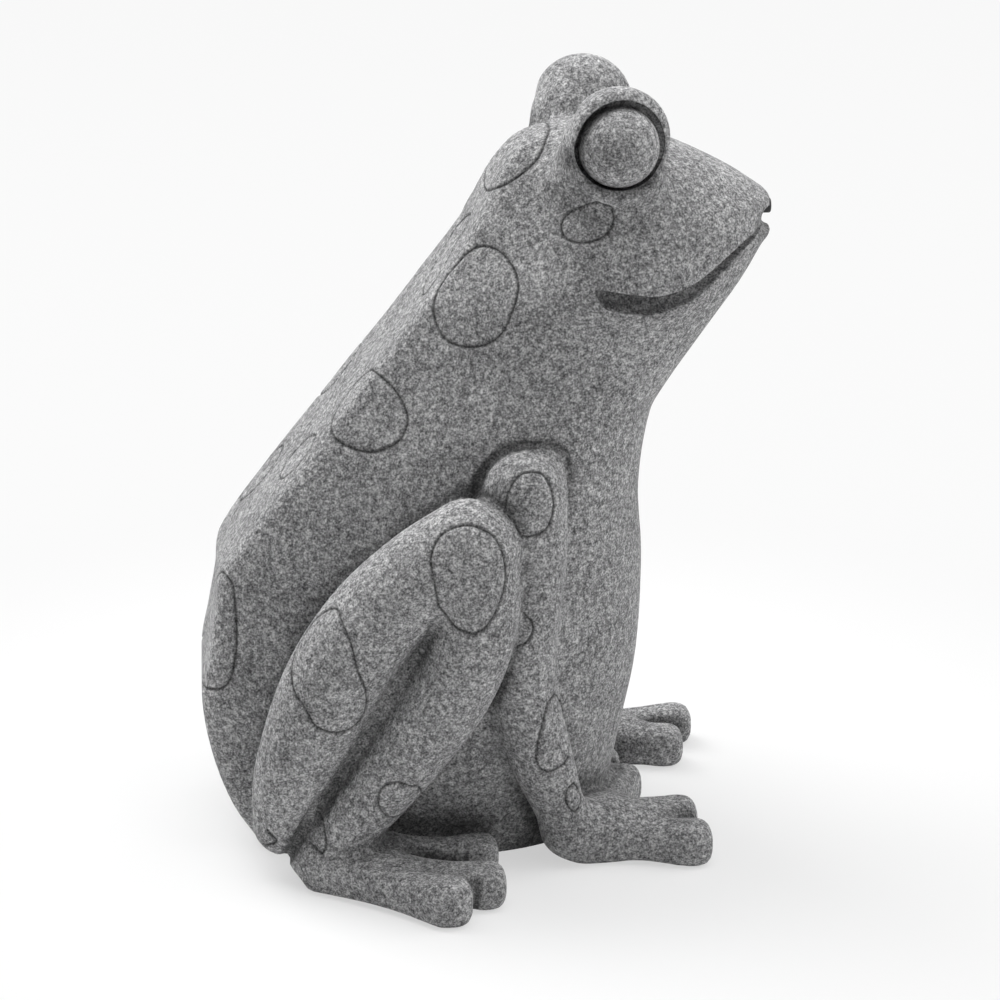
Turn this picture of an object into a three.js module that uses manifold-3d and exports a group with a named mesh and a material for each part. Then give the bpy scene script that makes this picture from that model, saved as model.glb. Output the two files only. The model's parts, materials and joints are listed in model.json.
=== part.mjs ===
import * as THREE from 'three';
import { mergeVertices } from 'three/addons/utils/BufferGeometryUtils.js';
import Module from 'manifold-3d';

const wasm = await Module();
wasm.setup();

// Sizes are in millimetres. The frog faces +X, its left side is +Y, +Z is up, and it rests on Z = 0.

// Clearances
const GAP = 0.3;
const SLIDE_GAP = 0.4;

// The figure is drawn on a square grid, with this many squares to the height of its crown
const CROWN_HEIGHT = 308;
const GRID_SQUARES = 308;
const square = CROWN_HEIGHT / GRID_SQUARES;
const drawn = (values) => values.map((value) => value * square);
const drawnRows = (rows) => rows.map(drawn);

// Body levels: height, rear line, front line, half width, half width between the back ridges, middle
const BODY = [
  [0, -98, 50, 52, 38, -20],
  [20, -110.4, 56, 58, 39, -20],
  [45, -118.8, 61, 64, 39, -20],
  [70, -122, 66, 67, 38, -19],
  [90, -118.4, 68, 68, 37, -18],
  [108, -115, 68.6, 68, 36, -15],
  [124, -112.4, 68.6, 68, 35.5, -12],
  [154, -91.2, 67, 65, 35, -4],
  [187, -65.5, 72, 60.5, 32, 8],
  [200, -55.5, 79.5, 57.5, 31, 13.4],
  [216, -42.5, 91, 54.8, 30, 20],
  [230, -31.8, 101, 55, 29, 25],
  [240, -24.5, 108, 56.6, 28, 28],
  [248, -18.5, 113, 56, 27, 31],
  [256, -12.5, 117.6, 53, 26, 34],
  [261, -9, 120.6, 51, 25.5, 36],
  [264, -7, 120.9, 50, 25, 37],
  [268.4, -5, 121, 48.6, 24.6, 38.4],
  [272, -3, 121, 47, 24, 40],
  [276, -1, 120.2, 45, 22.8, 41.6],
  [279, 0.5, 116.6, 43, 22, 43],
  [286, 4, 106, 39, 20, 46],
  [293, 8.5, 92.5, 35, 17, 48],
  [299, 13.5, 79, 30, 14, 48],
  [304, 20.5, 67, 24, 11, 47],
  [308, 28, 57, 14, 6, 46],
].map(drawn).map(([z, back, front, half, ridge, middle]) => ({ z, back, front, half, ridge, middle }));
const FRONT_ROUND = 2.2;
const RIDGE_SHARP = 28;
const FLANK_BULGE = 1.05;
const BODY_SIDES = 30;
const RIDGE_SHARE = 25 / 30;
const TORSO_STEP = 20 * square;

// Limbs of the right side: x, y, z, radius along each centre line
const THIGH = drawnRows([
  [-88, -64, 24, 14], [-84, -68, 48.6, 16.8], [-69.5, -71, 85, 20.4], [-52, -73, 114, 20.6],
  [-31, -74, 135.5, 19.8], [-11.6, -75, 149, 19.4],
]);
const SHIN = drawnRows([
  [-9.3, -76, 146.7, 18.6], [-9.5, -78, 117, 18.2], [-18.5, -79, 89.5, 17.4], [-35.2, -78, 63.2, 16],
  [-52.5, -76, 39.1, 14], [-71, -72.5, 15.5, 12],
]);
const ARM = drawnRows([
  [12.6, -60, 167.3, 17.8], [13.8, -61, 145.8, 16.6], [11, -61, 101.7, 15.4], [11.5, -61, 79.2, 14.4],
  [16, -61.5, 61.7, 14.2], [21.6, -61.5, 43.6, 13], [26.6, -60.5, 29.2, 11.2], [31.4, -60, 16, 10.6],
]);
const HAUNCH = drawnRows([[-62, -58, 66, 17], [-29, -63, 97, 17], [-1, -60, 142, 14]]);
const FOLD = drawnRows([
  [-22, -68.5, 124, 13], [-32.3, -67, 103.3, 14], [-40.6, -66, 86.8, 14], [-53, -65.4, 70.4, 13.5],
  [-65.7, -65, 55.7, 12.5], [-77, -61.5, 38, 11],
]);
const HIND_FOOT = [
  [[-75, -70, 12, 12.4], [-62, -75, 10, 11]],
  [[-72, -76, 9, 10.4], [-52, -92, 8, 8], [-38, -103, 8, 8], [-23, -114, 8.5, 9.8]],
  [[-66, -74, 14, 9], [-42, -86, 9.5, 7.4], [-24, -94, 8.5, 7.6], [-7.5, -100, 8.5, 9.4]],
  [[-62, -70, 15, 9], [-40, -71.5, 11, 7.4], [-22, -72, 9.5, 7.4], [-7.5, -71.5, 9, 8.6]],
].map(drawnRows);
const FRONT_FOOT = [
  [[33, -59, 13, 11.5], [50, -50, 10, 11.5], [66, -46, 8, 9]],
  [[44, -57, 9, 9.5], [66, -62, 8.5, 8], [83.6, -65.5, 8.5, 9.5]],
  [[48, -48, 9, 9.5], [66, -45, 8.5, 8.5], [80.6, -41, 8.5, 9.5]],
  [[42, -42, 10, 9], [53, -24, 9, 8.2], [60, -9, 8.5, 8.6]],
].map(drawnRows);
const LEG_SIDES = 10;
const TOE_SIDES = 8;
const HOOD_SIDES = 14;
const DOME_TURN = [0.45, 0.82];
const TIP_TURN = [0.62];
const LIMB_STEPS = 2;
const SIDEWAYS = new THREE.Vector3(0, 1, 0);
const UPWARD = new THREE.Vector3(0, 0, 1);

// Eyes and mouth
const EYE = { x: 50 * square, y: -44 * square, z: 305.6 * square, radius: 16.8 * square };
const EYE_GROOVE = 2;
const EYE_BACK = 1;
const HOOD = drawnRows([[32, -25, 286, 10], [46, -35, 303, 19], [50, -41, 308, 21.2]]);
const HOOD_FACE = { x: 50 * square, y: -48 * square, turn: 0.22 };
const LID_PAD = drawnRows([[35, -35, 291, 7], [48, -39, 284.6, 8.5], [62, -37, 288, 7]]);
const MOUTH = drawnRows([
  [43.5, -54, 247.4, 2], [57, -52.8, 243.6, 3.4], [75.4, -47.7, 243.4, 3.2], [92, -40.3, 251.4, 2.4],
  [107.5, -29.8, 262, 1.8],
]);
const LIP = { drop: 4, groove: 1.4, open: 5.6, ahead: 1.35 };

// Moulded wall, base recess and ledge
const WALL = 5;
const CROWN_WALL = 22;
const RIM = 6;
const RECESS = 20;
const LEDGE_WIDTH = 10;
const LEDGE_THICK = 12;
const HOSE_NOTCH = 20;

// Base cover, gasket and screws
const COVER_THICK = 4;
const GASKET_THICK = 1.6;
const SCREW_ANGLES = [30, 84, 128, 232, 276, 330];
const SCREW_RADIUS = 1.75;
const SCREW_HEAD_LIP = 2.25;
const SCREW_HEAD_HEIGHT = 2.4;
const SCREW_BITE = 9;

// Filler plug
const PLUG_X = 8;
const PLUG_RADIUS = 19.6;
const PLUG_WALL = 2.5;
const PLUG_ABOVE = 3;
const PLUG_LIP = 4.4;
const PLUG_FLANGE_THICK = 3;
const PLUG_GRIP = { length: 32, width: 6, height: 9 };
const SEAL_THICK = 1.5;

// Inlet fitting and hose adapter
const INLET_X = -44;
const INLET_Z = 9.5;
const STEM_RADIUS = 8;
const STEM_TOP = 33;
const INLET_LIP = 5;
const INLET_FLANGE_THICK = 2.8;
const NUT_WALL = 4;
const NUT_THICK = 6;
const SPIGOT_RADIUS = 6;
const SPIGOT_LENGTH = 24;
const SPIGOT_GRIP = 10;
const WATER_BORE = 3;
const ADAPTER_WALL = 2.2;
const ADAPTER_BARB = 7;
const ADAPTER_TAIL = 18;

// Supply tube and clips
const TUBE_OUTER = 6.5;
const TUBE_WALL = 1.75;
const TUBE_BEND = { rise: 0.425, run: 0.474 };
const BARB_LENGTH = 18;
const BARB_STEP = 0.6;
const CLIP_WIDTH = 7;
const CLIP_THICK = 1.2;
const CLIP_EAR = 5;

// Spout nozzle and grommet
const SPOUT_SHOW = 1;
const SPOUT_RADIUS = 4.5;
const JET = { radius: 3.2, bore: 1.8, length: 3.4, round: 0.5, wall: 1.2 };
const SEAT_DEPTH = 10;
const SEAT_WALL = 3.5;
const GROMMET_THICK = 1.1;
const GROMMET_FLANGE = 2.5;
const GROMMET_LIP = 1.6;
const POCKET_GAP = 0.8;
const GROMMET_LENGTH = 8;
const SPOUT_FLANGE = 3;

// Heights that follow from the sizes above
const coverTop = RECESS + COVER_THICK;
const gasketBottom = coverTop + GAP;
const ledgeBottom = gasketBottom + GASKET_THICK + GAP;
const ledgeTop = ledgeBottom + LEDGE_THICK;
const sealTop = RECESS - GAP;
const flangeTop = sealTop - SEAL_THICK - GAP;
const headRadius = SCREW_RADIUS + SCREW_HEAD_LIP;
const plugFlange = PLUG_RADIUS + PLUG_LIP;
const inletFlange = STEM_RADIUS + INLET_LIP;
const adapterRadius = SPIGOT_RADIUS + GAP + ADAPTER_WALL;
const tubeInner = TUBE_OUTER - TUBE_WALL;
const grommetRadius = SPOUT_RADIUS + GAP + GROMMET_THICK + GROMMET_LIP;
const barbRadius = tubeInner - GAP;
const barbNeck = barbRadius - BARB_STEP;
const barbRings = [BARB_LENGTH * 6 / 18, BARB_LENGTH * 11 / 18];
const bodyTop = BODY[BODY.length - 1].z;
const foremost = BODY.filter((row) => row.front === Math.max(...BODY.map((other) => other.front)));
const spoutZ = (foremost[0].z + foremost[foremost.length - 1].z) / 2;
const spoutTip = levelAt(spoutZ).front + SPOUT_SHOW;
const seatX = spoutTip - SEAT_DEPTH;
const eyeSpace = 3 * EYE.radius;
const grooveFloor = -EYE.y - EYE_BACK;
const cavityTop = bodyTop - CROWN_WALL;

// Closed geometry with welded corners and outward faces
function closed(geometry) {
  const plain = new THREE.BufferGeometry();
  plain.setAttribute('position', geometry.getAttribute('position').clone());
  if (geometry.index) plain.setIndex(geometry.index.clone());
  const welded = mergeVertices(plain, 1e-4);
  const place = welded.getAttribute('position');
  const index = welded.index.array;
  const kept = [];
  let volume = 0;
  const corner = [new THREE.Vector3(), new THREE.Vector3(), new THREE.Vector3()];
  for (let i = 0; i < index.length; i += 3) {
    const [a, b, c] = [index[i], index[i + 1], index[i + 2]];
    if (a === b || b === c || c === a) continue;
    kept.push(a, b, c);
    corner[0].fromBufferAttribute(place, a);
    corner[1].fromBufferAttribute(place, b);
    corner[2].fromBufferAttribute(place, c);
    volume += corner[0].dot(corner[1].cross(corner[2]));
  }
  if (volume < 0) kept.reverse();
  welded.setIndex(kept);
  return welded;
}

function solid(geometry) {
  const body = closed(geometry);
  return new wasm.Manifold(new wasm.Mesh({
    numProp: 3,
    vertProperties: new Float32Array(body.getAttribute('position').array),
    triVerts: new Uint32Array(body.index.array),
  }));
}

function geometryOf(body) {
  const mesh = body.getMesh();
  const geometry = new THREE.BufferGeometry();
  geometry.setAttribute('position', new THREE.BufferAttribute(new Float32Array(mesh.vertProperties), 3));
  geometry.setIndex(new THREE.BufferAttribute(new Uint32Array(mesh.triVerts), 1));
  return geometry;
}

// Smooth curve through the table values: cubic pieces with the mean slope at each row
function smooth(rows, key, z) {
  const last = rows.length - 1;
  const at = Math.min(Math.max(z, rows[0].z), rows[last].z);
  let i = 0;
  while (i < last - 1 && at > rows[i + 1].z) i += 1;
  const slope = (j) => {
    const a = rows[Math.max(j - 1, 0)];
    const b = rows[Math.min(j + 1, last)];
    return (b[key] - a[key]) / (b.z - a.z);
  };
  const span = rows[i + 1].z - rows[i].z;
  const t = (at - rows[i].z) / span;
  const rise = t * t * (3 - 2 * t);
  const leave = t * (1 - t) * (1 - t) * span * slope(i);
  const arrive = t * t * (t - 1) * span * slope(i + 1);
  return rows[i][key] * (1 - rise) + rows[i + 1][key] * rise + leave + arrive;
}

function levelAt(z) {
  const level = { z };
  for (const key of ['back', 'front', 'half', 'ridge', 'middle']) level[key] = smooth(BODY, key, z);
  return level;
}

// Distance from the middle of a level to its outline: round front, flat back between two ridges
function reach(level, angle) {
  const x = Math.cos(angle);
  const y = Math.abs(Math.sin(angle));
  const rear = level.middle - level.back;
  const side = level.half * FLANK_BULGE;
  const ahead = Math.max(x, 0) / (level.front - level.middle);
  const round = (ahead ** FRONT_ROUND + (y / level.half) ** FRONT_ROUND) ** (1 / FRONT_ROUND);
  const back = Math.max(-x, 0) / rear;
  const flank = Math.max(0, -x * (side - level.ridge) + y * rear) / (rear * side);
  const all = round ** RIDGE_SHARP + back ** RIDGE_SHARP + flank ** RIDGE_SHARP;
  return all ** (-1 / RIDGE_SHARP);
}

function outlinePoint(level, angle, inset) {
  const r = reach(level, angle) - inset;
  return new THREE.Vector3(level.middle + r * Math.cos(angle), r * Math.sin(angle), level.z);
}

// Closed skin over rings of equal count, with a fan over each end
function loft(rings) {
  const count = rings[0].length;
  const points = rings.flat();
  const index = [];
  for (let i = 0; i + 1 < rings.length; i += 1) {
    for (let j = 0; j < count; j += 1) {
      const a = i * count + j;
      const b = i * count + (j + 1) % count;
      index.push(a, b, b + count, a, b + count, a + count);
    }
  }
  for (const [ring, base] of [[rings[0], 0], [rings[rings.length - 1], (rings.length - 1) * count]]) {
    const centre = ring.reduce((sum, p) => sum.add(p), new THREE.Vector3()).divideScalar(count);
    points.push(centre);
    for (let j = 0; j < count; j += 1) {
      const pair = [base + j, base + (j + 1) % count];
      if (base === 0) pair.reverse();
      index.push(pair[0], pair[1], points.length - 1);
    }
  }
  const geometry = new THREE.BufferGeometry().setFromPoints(points);
  geometry.setIndex(index);
  return geometry;
}

// Round limb: circles along a smooth centre line, closed by domes at both ends
function limb(stations, side, sides, facing, thinner = 0) {
  const centres = stations.map(([x, y, z]) => new THREE.Vector3(x, y * side, z));
  const path = new THREE.CatmullRomCurve3(centres);
  const rows = stations.map((s, i) => ({ z: i, radius: s[3] - thinner }));
  const steps = (stations.length - 1) * LIMB_STEPS;
  const rings = [];
  const ring = (centre, tangent, radius) => {
    const across = new THREE.Vector3().crossVectors(tangent, facing).normalize();
    const over = new THREE.Vector3().crossVectors(across, tangent);
    const points = [];
    for (let j = 0; j < sides; j += 1) {
      const turn = 2 * Math.PI * j / sides;
      points.push(centre.clone().addScaledVector(across, -radius * Math.cos(turn))
        .addScaledVector(over, radius * Math.sin(turn)));
    }
    rings.push(points);
  };
  const dome = (centre, tangent, radius, angles) => {
    for (const angle of angles) {
      const at = centre.clone().addScaledVector(tangent, radius * Math.sin(angle));
      ring(at, tangent, radius * Math.cos(angle));
    }
  };
  const bends = (sides > TOE_SIDES ? DOME_TURN : TIP_TURN).map((share) => share * Math.PI / 2);
  dome(centres[0], path.getTangent(0), rows[0].radius, bends.map((bend) => -bend).reverse());
  for (let i = 0; i <= steps; i += 1) {
    const t = i / steps;
    ring(path.getPoint(t), path.getTangent(t), smooth(rows, 'radius', t * (rows.length - 1)));
  }
  const end = rows.length - 1;
  dome(centres[end], path.getTangent(1), rows[end].radius, bends);
  return loft(rings);
}

function ball(x, y, z, rx, ry = rx, rz = rx) {
  return new THREE.SphereGeometry(1, 16, 10).rotateX(Math.PI / 2).scale(rx, ry, rz).translate(x, y, z);
}

function box(x0, x1, y0, y1, z0, z1) {
  const shape = new THREE.BoxGeometry(x1 - x0, y1 - y0, z1 - z0);
  return shape.translate((x0 + x1) / 2, (y0 + y1) / 2, (z0 + z1) / 2);
}

// Turned piece from radius and height pairs, standing on Z or lying along X
function turned(profile, segments = 14) {
  const points = profile.map(([r, h]) => new THREE.Vector2(r, h));
  return new THREE.LatheGeometry(points, segments).rotateX(Math.PI / 2);
}

function turnedAlongX(profile, segments = 14) {
  return turned(profile, segments).rotateY(Math.PI / 2);
}

function rod(radius, z0, z1, segments = 24) {
  return turned([[0, z0], [radius, z0], [radius, z1], [0, z1]], segments);
}

function rodAlongX(radius, x0, x1, segments = 14) {
  return turnedAlongX([[0, x0], [radius, x0], [radius, x1], [0, x1]], segments);
}

function ringProfile(inner, outer, h0, h1) {
  return [[inner, h0], [outer, h0], [outer, h1], [inner, h1], [inner, h0]];
}

// Outer body: torso and head, limbs, feet, eyes and mouth
function torso() {
  const rings = [];
  for (let i = 0; i + 1 < BODY.length; i += 1) {
    const step = BODY[i + 1].z - BODY[i].z;
    const parts = step > TORSO_STEP ? 2 : 1;
    for (let j = 0; j < parts; j += 1) rings.push(levelRing(levelAt(BODY[i].z + step * j / parts), 0));
  }
  rings.push(levelRing(levelAt(BODY[BODY.length - 1].z), 0));
  return solid(loft(rings));
}

// Directions of a level's points, counted round from the front, with one point on each back ridge
function turnsOf(level) {
  const ridge = Math.atan2(level.ridge, level.back - level.middle);
  const turns = [];
  for (let j = 0; j < BODY_SIDES; j += 1) {
    const share = 2 * (j + 0.5) / BODY_SIDES;
    const near = Math.min(share, 2 - share);
    const past = (near - RIDGE_SHARE) / (1 - RIDGE_SHARE);
    const turn = past > 0 ? ridge + (Math.PI - ridge) * past : ridge * near / RIDGE_SHARE;
    turns.push(share < 1 ? turn : 2 * Math.PI - turn);
  }
  return turns;
}

function levelRing(level, inset) {
  return turnsOf(level).map((turn) => outlinePoint(level, turn, inset));
}

function limbsOf(side) {
  let all = solid(limb(THIGH, side, LEG_SIDES, SIDEWAYS));
  for (const stations of [HAUNCH, FOLD, SHIN, ARM]) {
    all = all.add(solid(limb(stations, side, LEG_SIDES, SIDEWAYS)));
  }
  for (const stations of [...HIND_FOOT, ...FRONT_FOOT]) {
    all = all.add(solid(limb(stations, side, TOE_SIDES, UPWARD)));
  }
  return all;
}

function hoodOf(side) {
  const dome = limb(HOOD, side, HOOD_SIDES, UPWARD);
  const beyond = box(-eyeSpace, eyeSpace, 0, eyeSpace, EYE.z - eyeSpace, EYE.z + eyeSpace);
  beyond.rotateZ(side > 0 ? Math.PI + HOOD_FACE.turn : -HOOD_FACE.turn);
  const hood = solid(dome).subtract(solid(beyond.translate(HOOD_FACE.x, HOOD_FACE.y * side, 0)));
  return hood.add(solid(limb(LID_PAD, side, TOE_SIDES, UPWARD)));
}

function eyeGroove(side, eye) {
  const around = solid(ball(EYE.x, EYE.y * side, EYE.z, EYE.radius + EYE_GROOVE));
  const inside = box(-eyeSpace, eyeSpace, -grooveFloor, grooveFloor, -eyeSpace, eyeSpace);
  return around.subtract(eye).subtract(solid(inside.translate(EYE.x, 0, EYE.z)));
}

function mouthGroove() {
  const near = MOUTH.map(([x, y, z, r]) => onBody(x, y, z, r));
  const far = MOUTH.map(([x, y, z, r]) => onBody(x, -y, z, r)).reverse();
  const lip = onBody(spoutTip, 0, spoutZ - LIP.drop, LIP.groove);
  return solid(limb([...near, lip, ...far], 1, TOE_SIDES, UPWARD));
}

// Opening between the lips: a round bar laid across the front of the snout
function lipOpening() {
  const half = 2 * SEAT_DEPTH;
  const bar = turned([[0, -half], [LIP.open, -half], [LIP.open, half], [0, half]]).rotateX(Math.PI / 2);
  return solid(bar.translate(spoutTip + LIP.ahead, 0, spoutZ - LIP.drop));
}

function onBody(x, y, z, radius) {
  const level = levelAt(z);
  const point = outlinePoint(level, Math.atan2(y, x - level.middle), 0);
  return [point.x, point.y, point.z, radius];
}

function outerBody() {
  let body = torso();
  for (const side of [1, -1]) {
    const eye = solid(ball(EYE.x, EYE.y * side, EYE.z, EYE.radius));
    body = body.add(limbsOf(side)).add(hoodOf(side)).add(eye).subtract(eyeGroove(side, eye));
  }
  const floor = box(-bodyTop, bodyTop, -bodyTop, bodyTop, -bodyTop, 0);
  return body.subtract(mouthGroove()).subtract(lipOpening()).subtract(solid(floor));
}

// Ballast space: the body drawn in by the wall, with the hollow of each thigh
function cavity() {
  const rings = [];
  const heights = BODY.map((row) => row.z).filter((z) => z > ledgeTop + WALL && z < cavityTop - WALL);
  for (const z of [ledgeTop, ...heights, cavityTop]) {
    const above = levelAt(z + WALL);
    const below = levelAt(z - WALL);
    const level = levelAt(z);
    rings.push(turnsOf(level).map((angle) => {
      const r = Math.min(reach(above, angle), reach(below, angle), reach(level, angle)) - WALL;
      return new THREE.Vector3(level.middle + r * Math.cos(angle), r * Math.sin(angle), z);
    }));
  }
  let hollow = solid(loft(rings));
  for (const side of [1, -1]) {
    hollow = hollow.add(solid(limb(THIGH.slice(1), side, LEG_SIDES, SIDEWAYS, WALL)));
    hollow = hollow.add(solid(limb(HAUNCH, side, LEG_SIDES, SIDEWAYS, WALL)));
  }
  const seat = rodAlongX(grommetRadius + SEAT_WALL, seatX, spoutTip);
  const pocket = rodAlongX(grommetRadius + POCKET_GAP, seatX - 2 * BARB_LENGTH, seatX);
  return hollow.subtract(solid(seat.translate(0, 0, spoutZ))).add(solid(pocket.translate(0, 0, spoutZ)));
}

function baseOutline(inset) {
  return levelRing(levelAt(0), inset).map((p) => new THREE.Vector2(p.x, p.y));
}

function slab(points, z0, z1, holes = []) {
  const shape = new THREE.Shape(points);
  for (const hole of holes) shape.holes.push(hole);
  return new THREE.ExtrudeGeometry(shape, { depth: z1 - z0, bevelEnabled: false, curveSegments: 6 })
    .translate(0, 0, z0);
}

function roundHole(x, y, radius, segments = 12) {
  const corner = radius / Math.cos(Math.PI / segments);
  const points = [];
  for (let i = 0; i < segments; i += 1) {
    const turn = -2 * Math.PI * i / segments;
    points.push(new THREE.Vector2(x + corner * Math.cos(turn), y + corner * Math.sin(turn)));
  }
  return new THREE.Path(points);
}

function screwSpots() {
  const foot = levelAt(0);
  return SCREW_ANGLES.map((degrees) => outlinePoint(foot, degrees * Math.PI / 180, RIM + LEDGE_WIDTH / 2));
}

function hoseNotch() {
  const half = HOSE_NOTCH / 2;
  const arch = new THREE.Shape();
  arch.moveTo(-half, -1);
  arch.lineTo(half, -1);
  arch.lineTo(half, INLET_Z);
  arch.absarc(0, INLET_Z, half, 0, Math.PI, false);
  const along = { depth: 3 * HOSE_NOTCH, bevelEnabled: false, curveSegments: 8 };
  const cut = new THREE.ExtrudeGeometry(arch, along);
  return cut.rotateX(Math.PI / 2).rotateZ(-Math.PI / 2).translate(BODY[0].back + HOSE_NOTCH, 0, 0);
}

function bodyShell() {
  let body = outerBody().subtract(cavity());
  body = body.subtract(solid(slab(baseOutline(RIM), -1, ledgeBottom)));
  body = body.subtract(solid(slab(baseOutline(RIM + LEDGE_WIDTH), ledgeBottom - 1, ledgeTop + 1)));
  body = body.subtract(solid(hoseNotch()));
  for (const spot of screwSpots()) {
    const pilot = rod(SCREW_RADIUS + GAP, ledgeBottom - 1, ledgeBottom + SCREW_BITE + GAP, 8);
    body = body.subtract(solid(pilot.translate(spot.x, spot.y, 0)));
  }
  const boreRadius = SPOUT_RADIUS + GAP + GROMMET_THICK + GAP;
  const bore = rodAlongX(boreRadius, seatX - POCKET_GAP, spoutTip + SEAT_DEPTH);
  return geometryOf(body.subtract(solid(bore.translate(0, 0, spoutZ))));
}

// Base cover, gasket and screws
function screwHoles() {
  return screwSpots().map((spot) => roundHole(spot.x, spot.y, SCREW_RADIUS + 2 * GAP));
}

function baseCover() {
  const holes = [...screwHoles(), roundHole(PLUG_X, 0, PLUG_RADIUS + SLIDE_GAP, 24)];
  holes.push(roundHole(INLET_X, 0, STEM_RADIUS + GAP, 16));
  return slab(baseOutline(RIM + SLIDE_GAP), RECESS, coverTop, holes);
}

function coverGasket() {
  const holes = [new THREE.Path(baseOutline(RIM + LEDGE_WIDTH)), ...screwHoles()];
  return slab(baseOutline(RIM + SLIDE_GAP), gasketBottom, gasketBottom + GASKET_THICK, holes);
}

function coverScrew(spot) {
  const under = RECESS - GAP;
  const tip = ledgeBottom + SCREW_BITE;
  const profile = [
    [0, under - SCREW_HEAD_HEIGHT], [headRadius * 0.7, under - SCREW_HEAD_HEIGHT],
    [headRadius, under - SCREW_HEAD_HEIGHT / 2], [headRadius, under],
    [SCREW_RADIUS, under], [SCREW_RADIUS, tip - SCREW_RADIUS], [0, tip],
  ];
  return turned(profile, 8).translate(spot.x, spot.y, 0);
}

// Filler plug and seal
function fillerPlug() {
  const bottom = flangeTop - PLUG_FLANGE_THICK;
  const top = coverTop + PLUG_ABOVE;
  const cup = turned([
    [0, bottom], [plugFlange, bottom], [plugFlange, flangeTop], [PLUG_RADIUS, flangeTop],
    [PLUG_RADIUS, top], [PLUG_RADIUS - PLUG_WALL, top], [PLUG_RADIUS - PLUG_WALL, flangeTop], [0, flangeTop],
  ], 24);
  const grip = box(-PLUG_GRIP.length / 2, PLUG_GRIP.length / 2, -PLUG_GRIP.width / 2, PLUG_GRIP.width / 2,
    bottom - PLUG_GRIP.height, bottom + 1);
  return geometryOf(solid(cup).add(solid(grip))).translate(PLUG_X, 0, 0);
}

function plugSeal() {
  const profile = ringProfile(PLUG_RADIUS + GAP, plugFlange, sealTop - SEAL_THICK, sealTop);
  return turned(profile, 24).translate(PLUG_X, 0, 0);
}

// Inlet elbow, washer, nut and adapter
function inletElbow() {
  const flangeBottom = flangeTop - INLET_FLANGE_THICK;
  let body = solid(turned([
    [0, INLET_Z], [STEM_RADIUS, INLET_Z], [STEM_RADIUS, flangeBottom],
    [inletFlange, flangeBottom], [inletFlange, flangeTop],
    [STEM_RADIUS, flangeTop], [STEM_RADIUS, STEM_TOP], [barbNeck, STEM_TOP],
    [barbNeck, STEM_TOP + barbRings[0]], [barbRadius, STEM_TOP + barbRings[0]],
    [barbNeck, STEM_TOP + barbRings[1]], [barbRadius, STEM_TOP + barbRings[1]],
    [barbNeck, STEM_TOP + BARB_LENGTH], [0, STEM_TOP + BARB_LENGTH],
  ]));
  body = body.add(solid(ball(0, 0, INLET_Z, STEM_RADIUS)));
  const sleeve = SPIGOT_LENGTH - SPIGOT_GRIP;
  const spigot = turnedAlongX([
    [0, -SPIGOT_LENGTH], [SPIGOT_RADIUS, -SPIGOT_LENGTH], [SPIGOT_RADIUS, -sleeve], [STEM_RADIUS, -sleeve],
    [STEM_RADIUS, 0], [0, 0],
  ]);
  body = body.add(solid(spigot.translate(0, 0, INLET_Z)));
  body = body.subtract(solid(rod(WATER_BORE, INLET_Z, STEM_TOP + BARB_LENGTH + 1, 16)));
  const way = rodAlongX(WATER_BORE, -SPIGOT_LENGTH - 1, 0, 16);
  body = body.subtract(solid(way.translate(0, 0, INLET_Z)));
  body = body.subtract(solid(ball(0, 0, INLET_Z, WATER_BORE)));
  return geometryOf(body).translate(INLET_X, 0, 0);
}

function inletWasher() {
  const profile = ringProfile(STEM_RADIUS + GAP, inletFlange, sealTop - SEAL_THICK, sealTop);
  return turned(profile).translate(INLET_X, 0, 0);
}

function inletNut() {
  const corner = 2 * (STEM_RADIUS + NUT_WALL) / Math.sqrt(3);
  const points = [];
  for (let i = 0; i < 6; i += 1) {
    points.push(new THREE.Vector2(corner * Math.cos(i * Math.PI / 3), corner * Math.sin(i * Math.PI / 3)));
  }
  const base = coverTop + GAP;
  const hole = roundHole(0, 0, STEM_RADIUS + GAP, 16);
  return slab(points, base, base + NUT_THICK, [hole]).translate(INLET_X, 0, 0);
}

function hoseAdapter() {
  const front = INLET_X - SPIGOT_LENGTH + SPIGOT_GRIP - GAP;
  const step = INLET_X - SPIGOT_LENGTH - GAP;
  const rear = step - ADAPTER_TAIL;
  const neck = ADAPTER_BARB - 0.9;
  const pitch = ADAPTER_TAIL / 4;
  const profile = [[WATER_BORE + 1, rear], [neck, rear]];
  for (let i = 1; i <= 3; i += 1) profile.push([ADAPTER_BARB, rear + pitch * i], [neck, rear + pitch * i]);
  profile.push([neck, step - 2], [adapterRadius, step - 2], [adapterRadius, front]);
  profile.push([SPIGOT_RADIUS + GAP, front], [SPIGOT_RADIUS + GAP, step], [WATER_BORE + 1, step]);
  profile.push([WATER_BORE + 1, rear]);
  return turnedAlongX(profile).translate(0, 0, INLET_Z);
}

// Supply tube and its clips
const tubeLow = STEM_TOP + GAP;
const tubeHigh = seatX - GAP - GROMMET_FLANGE - GAP - SPOUT_FLANGE - GAP;

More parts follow.
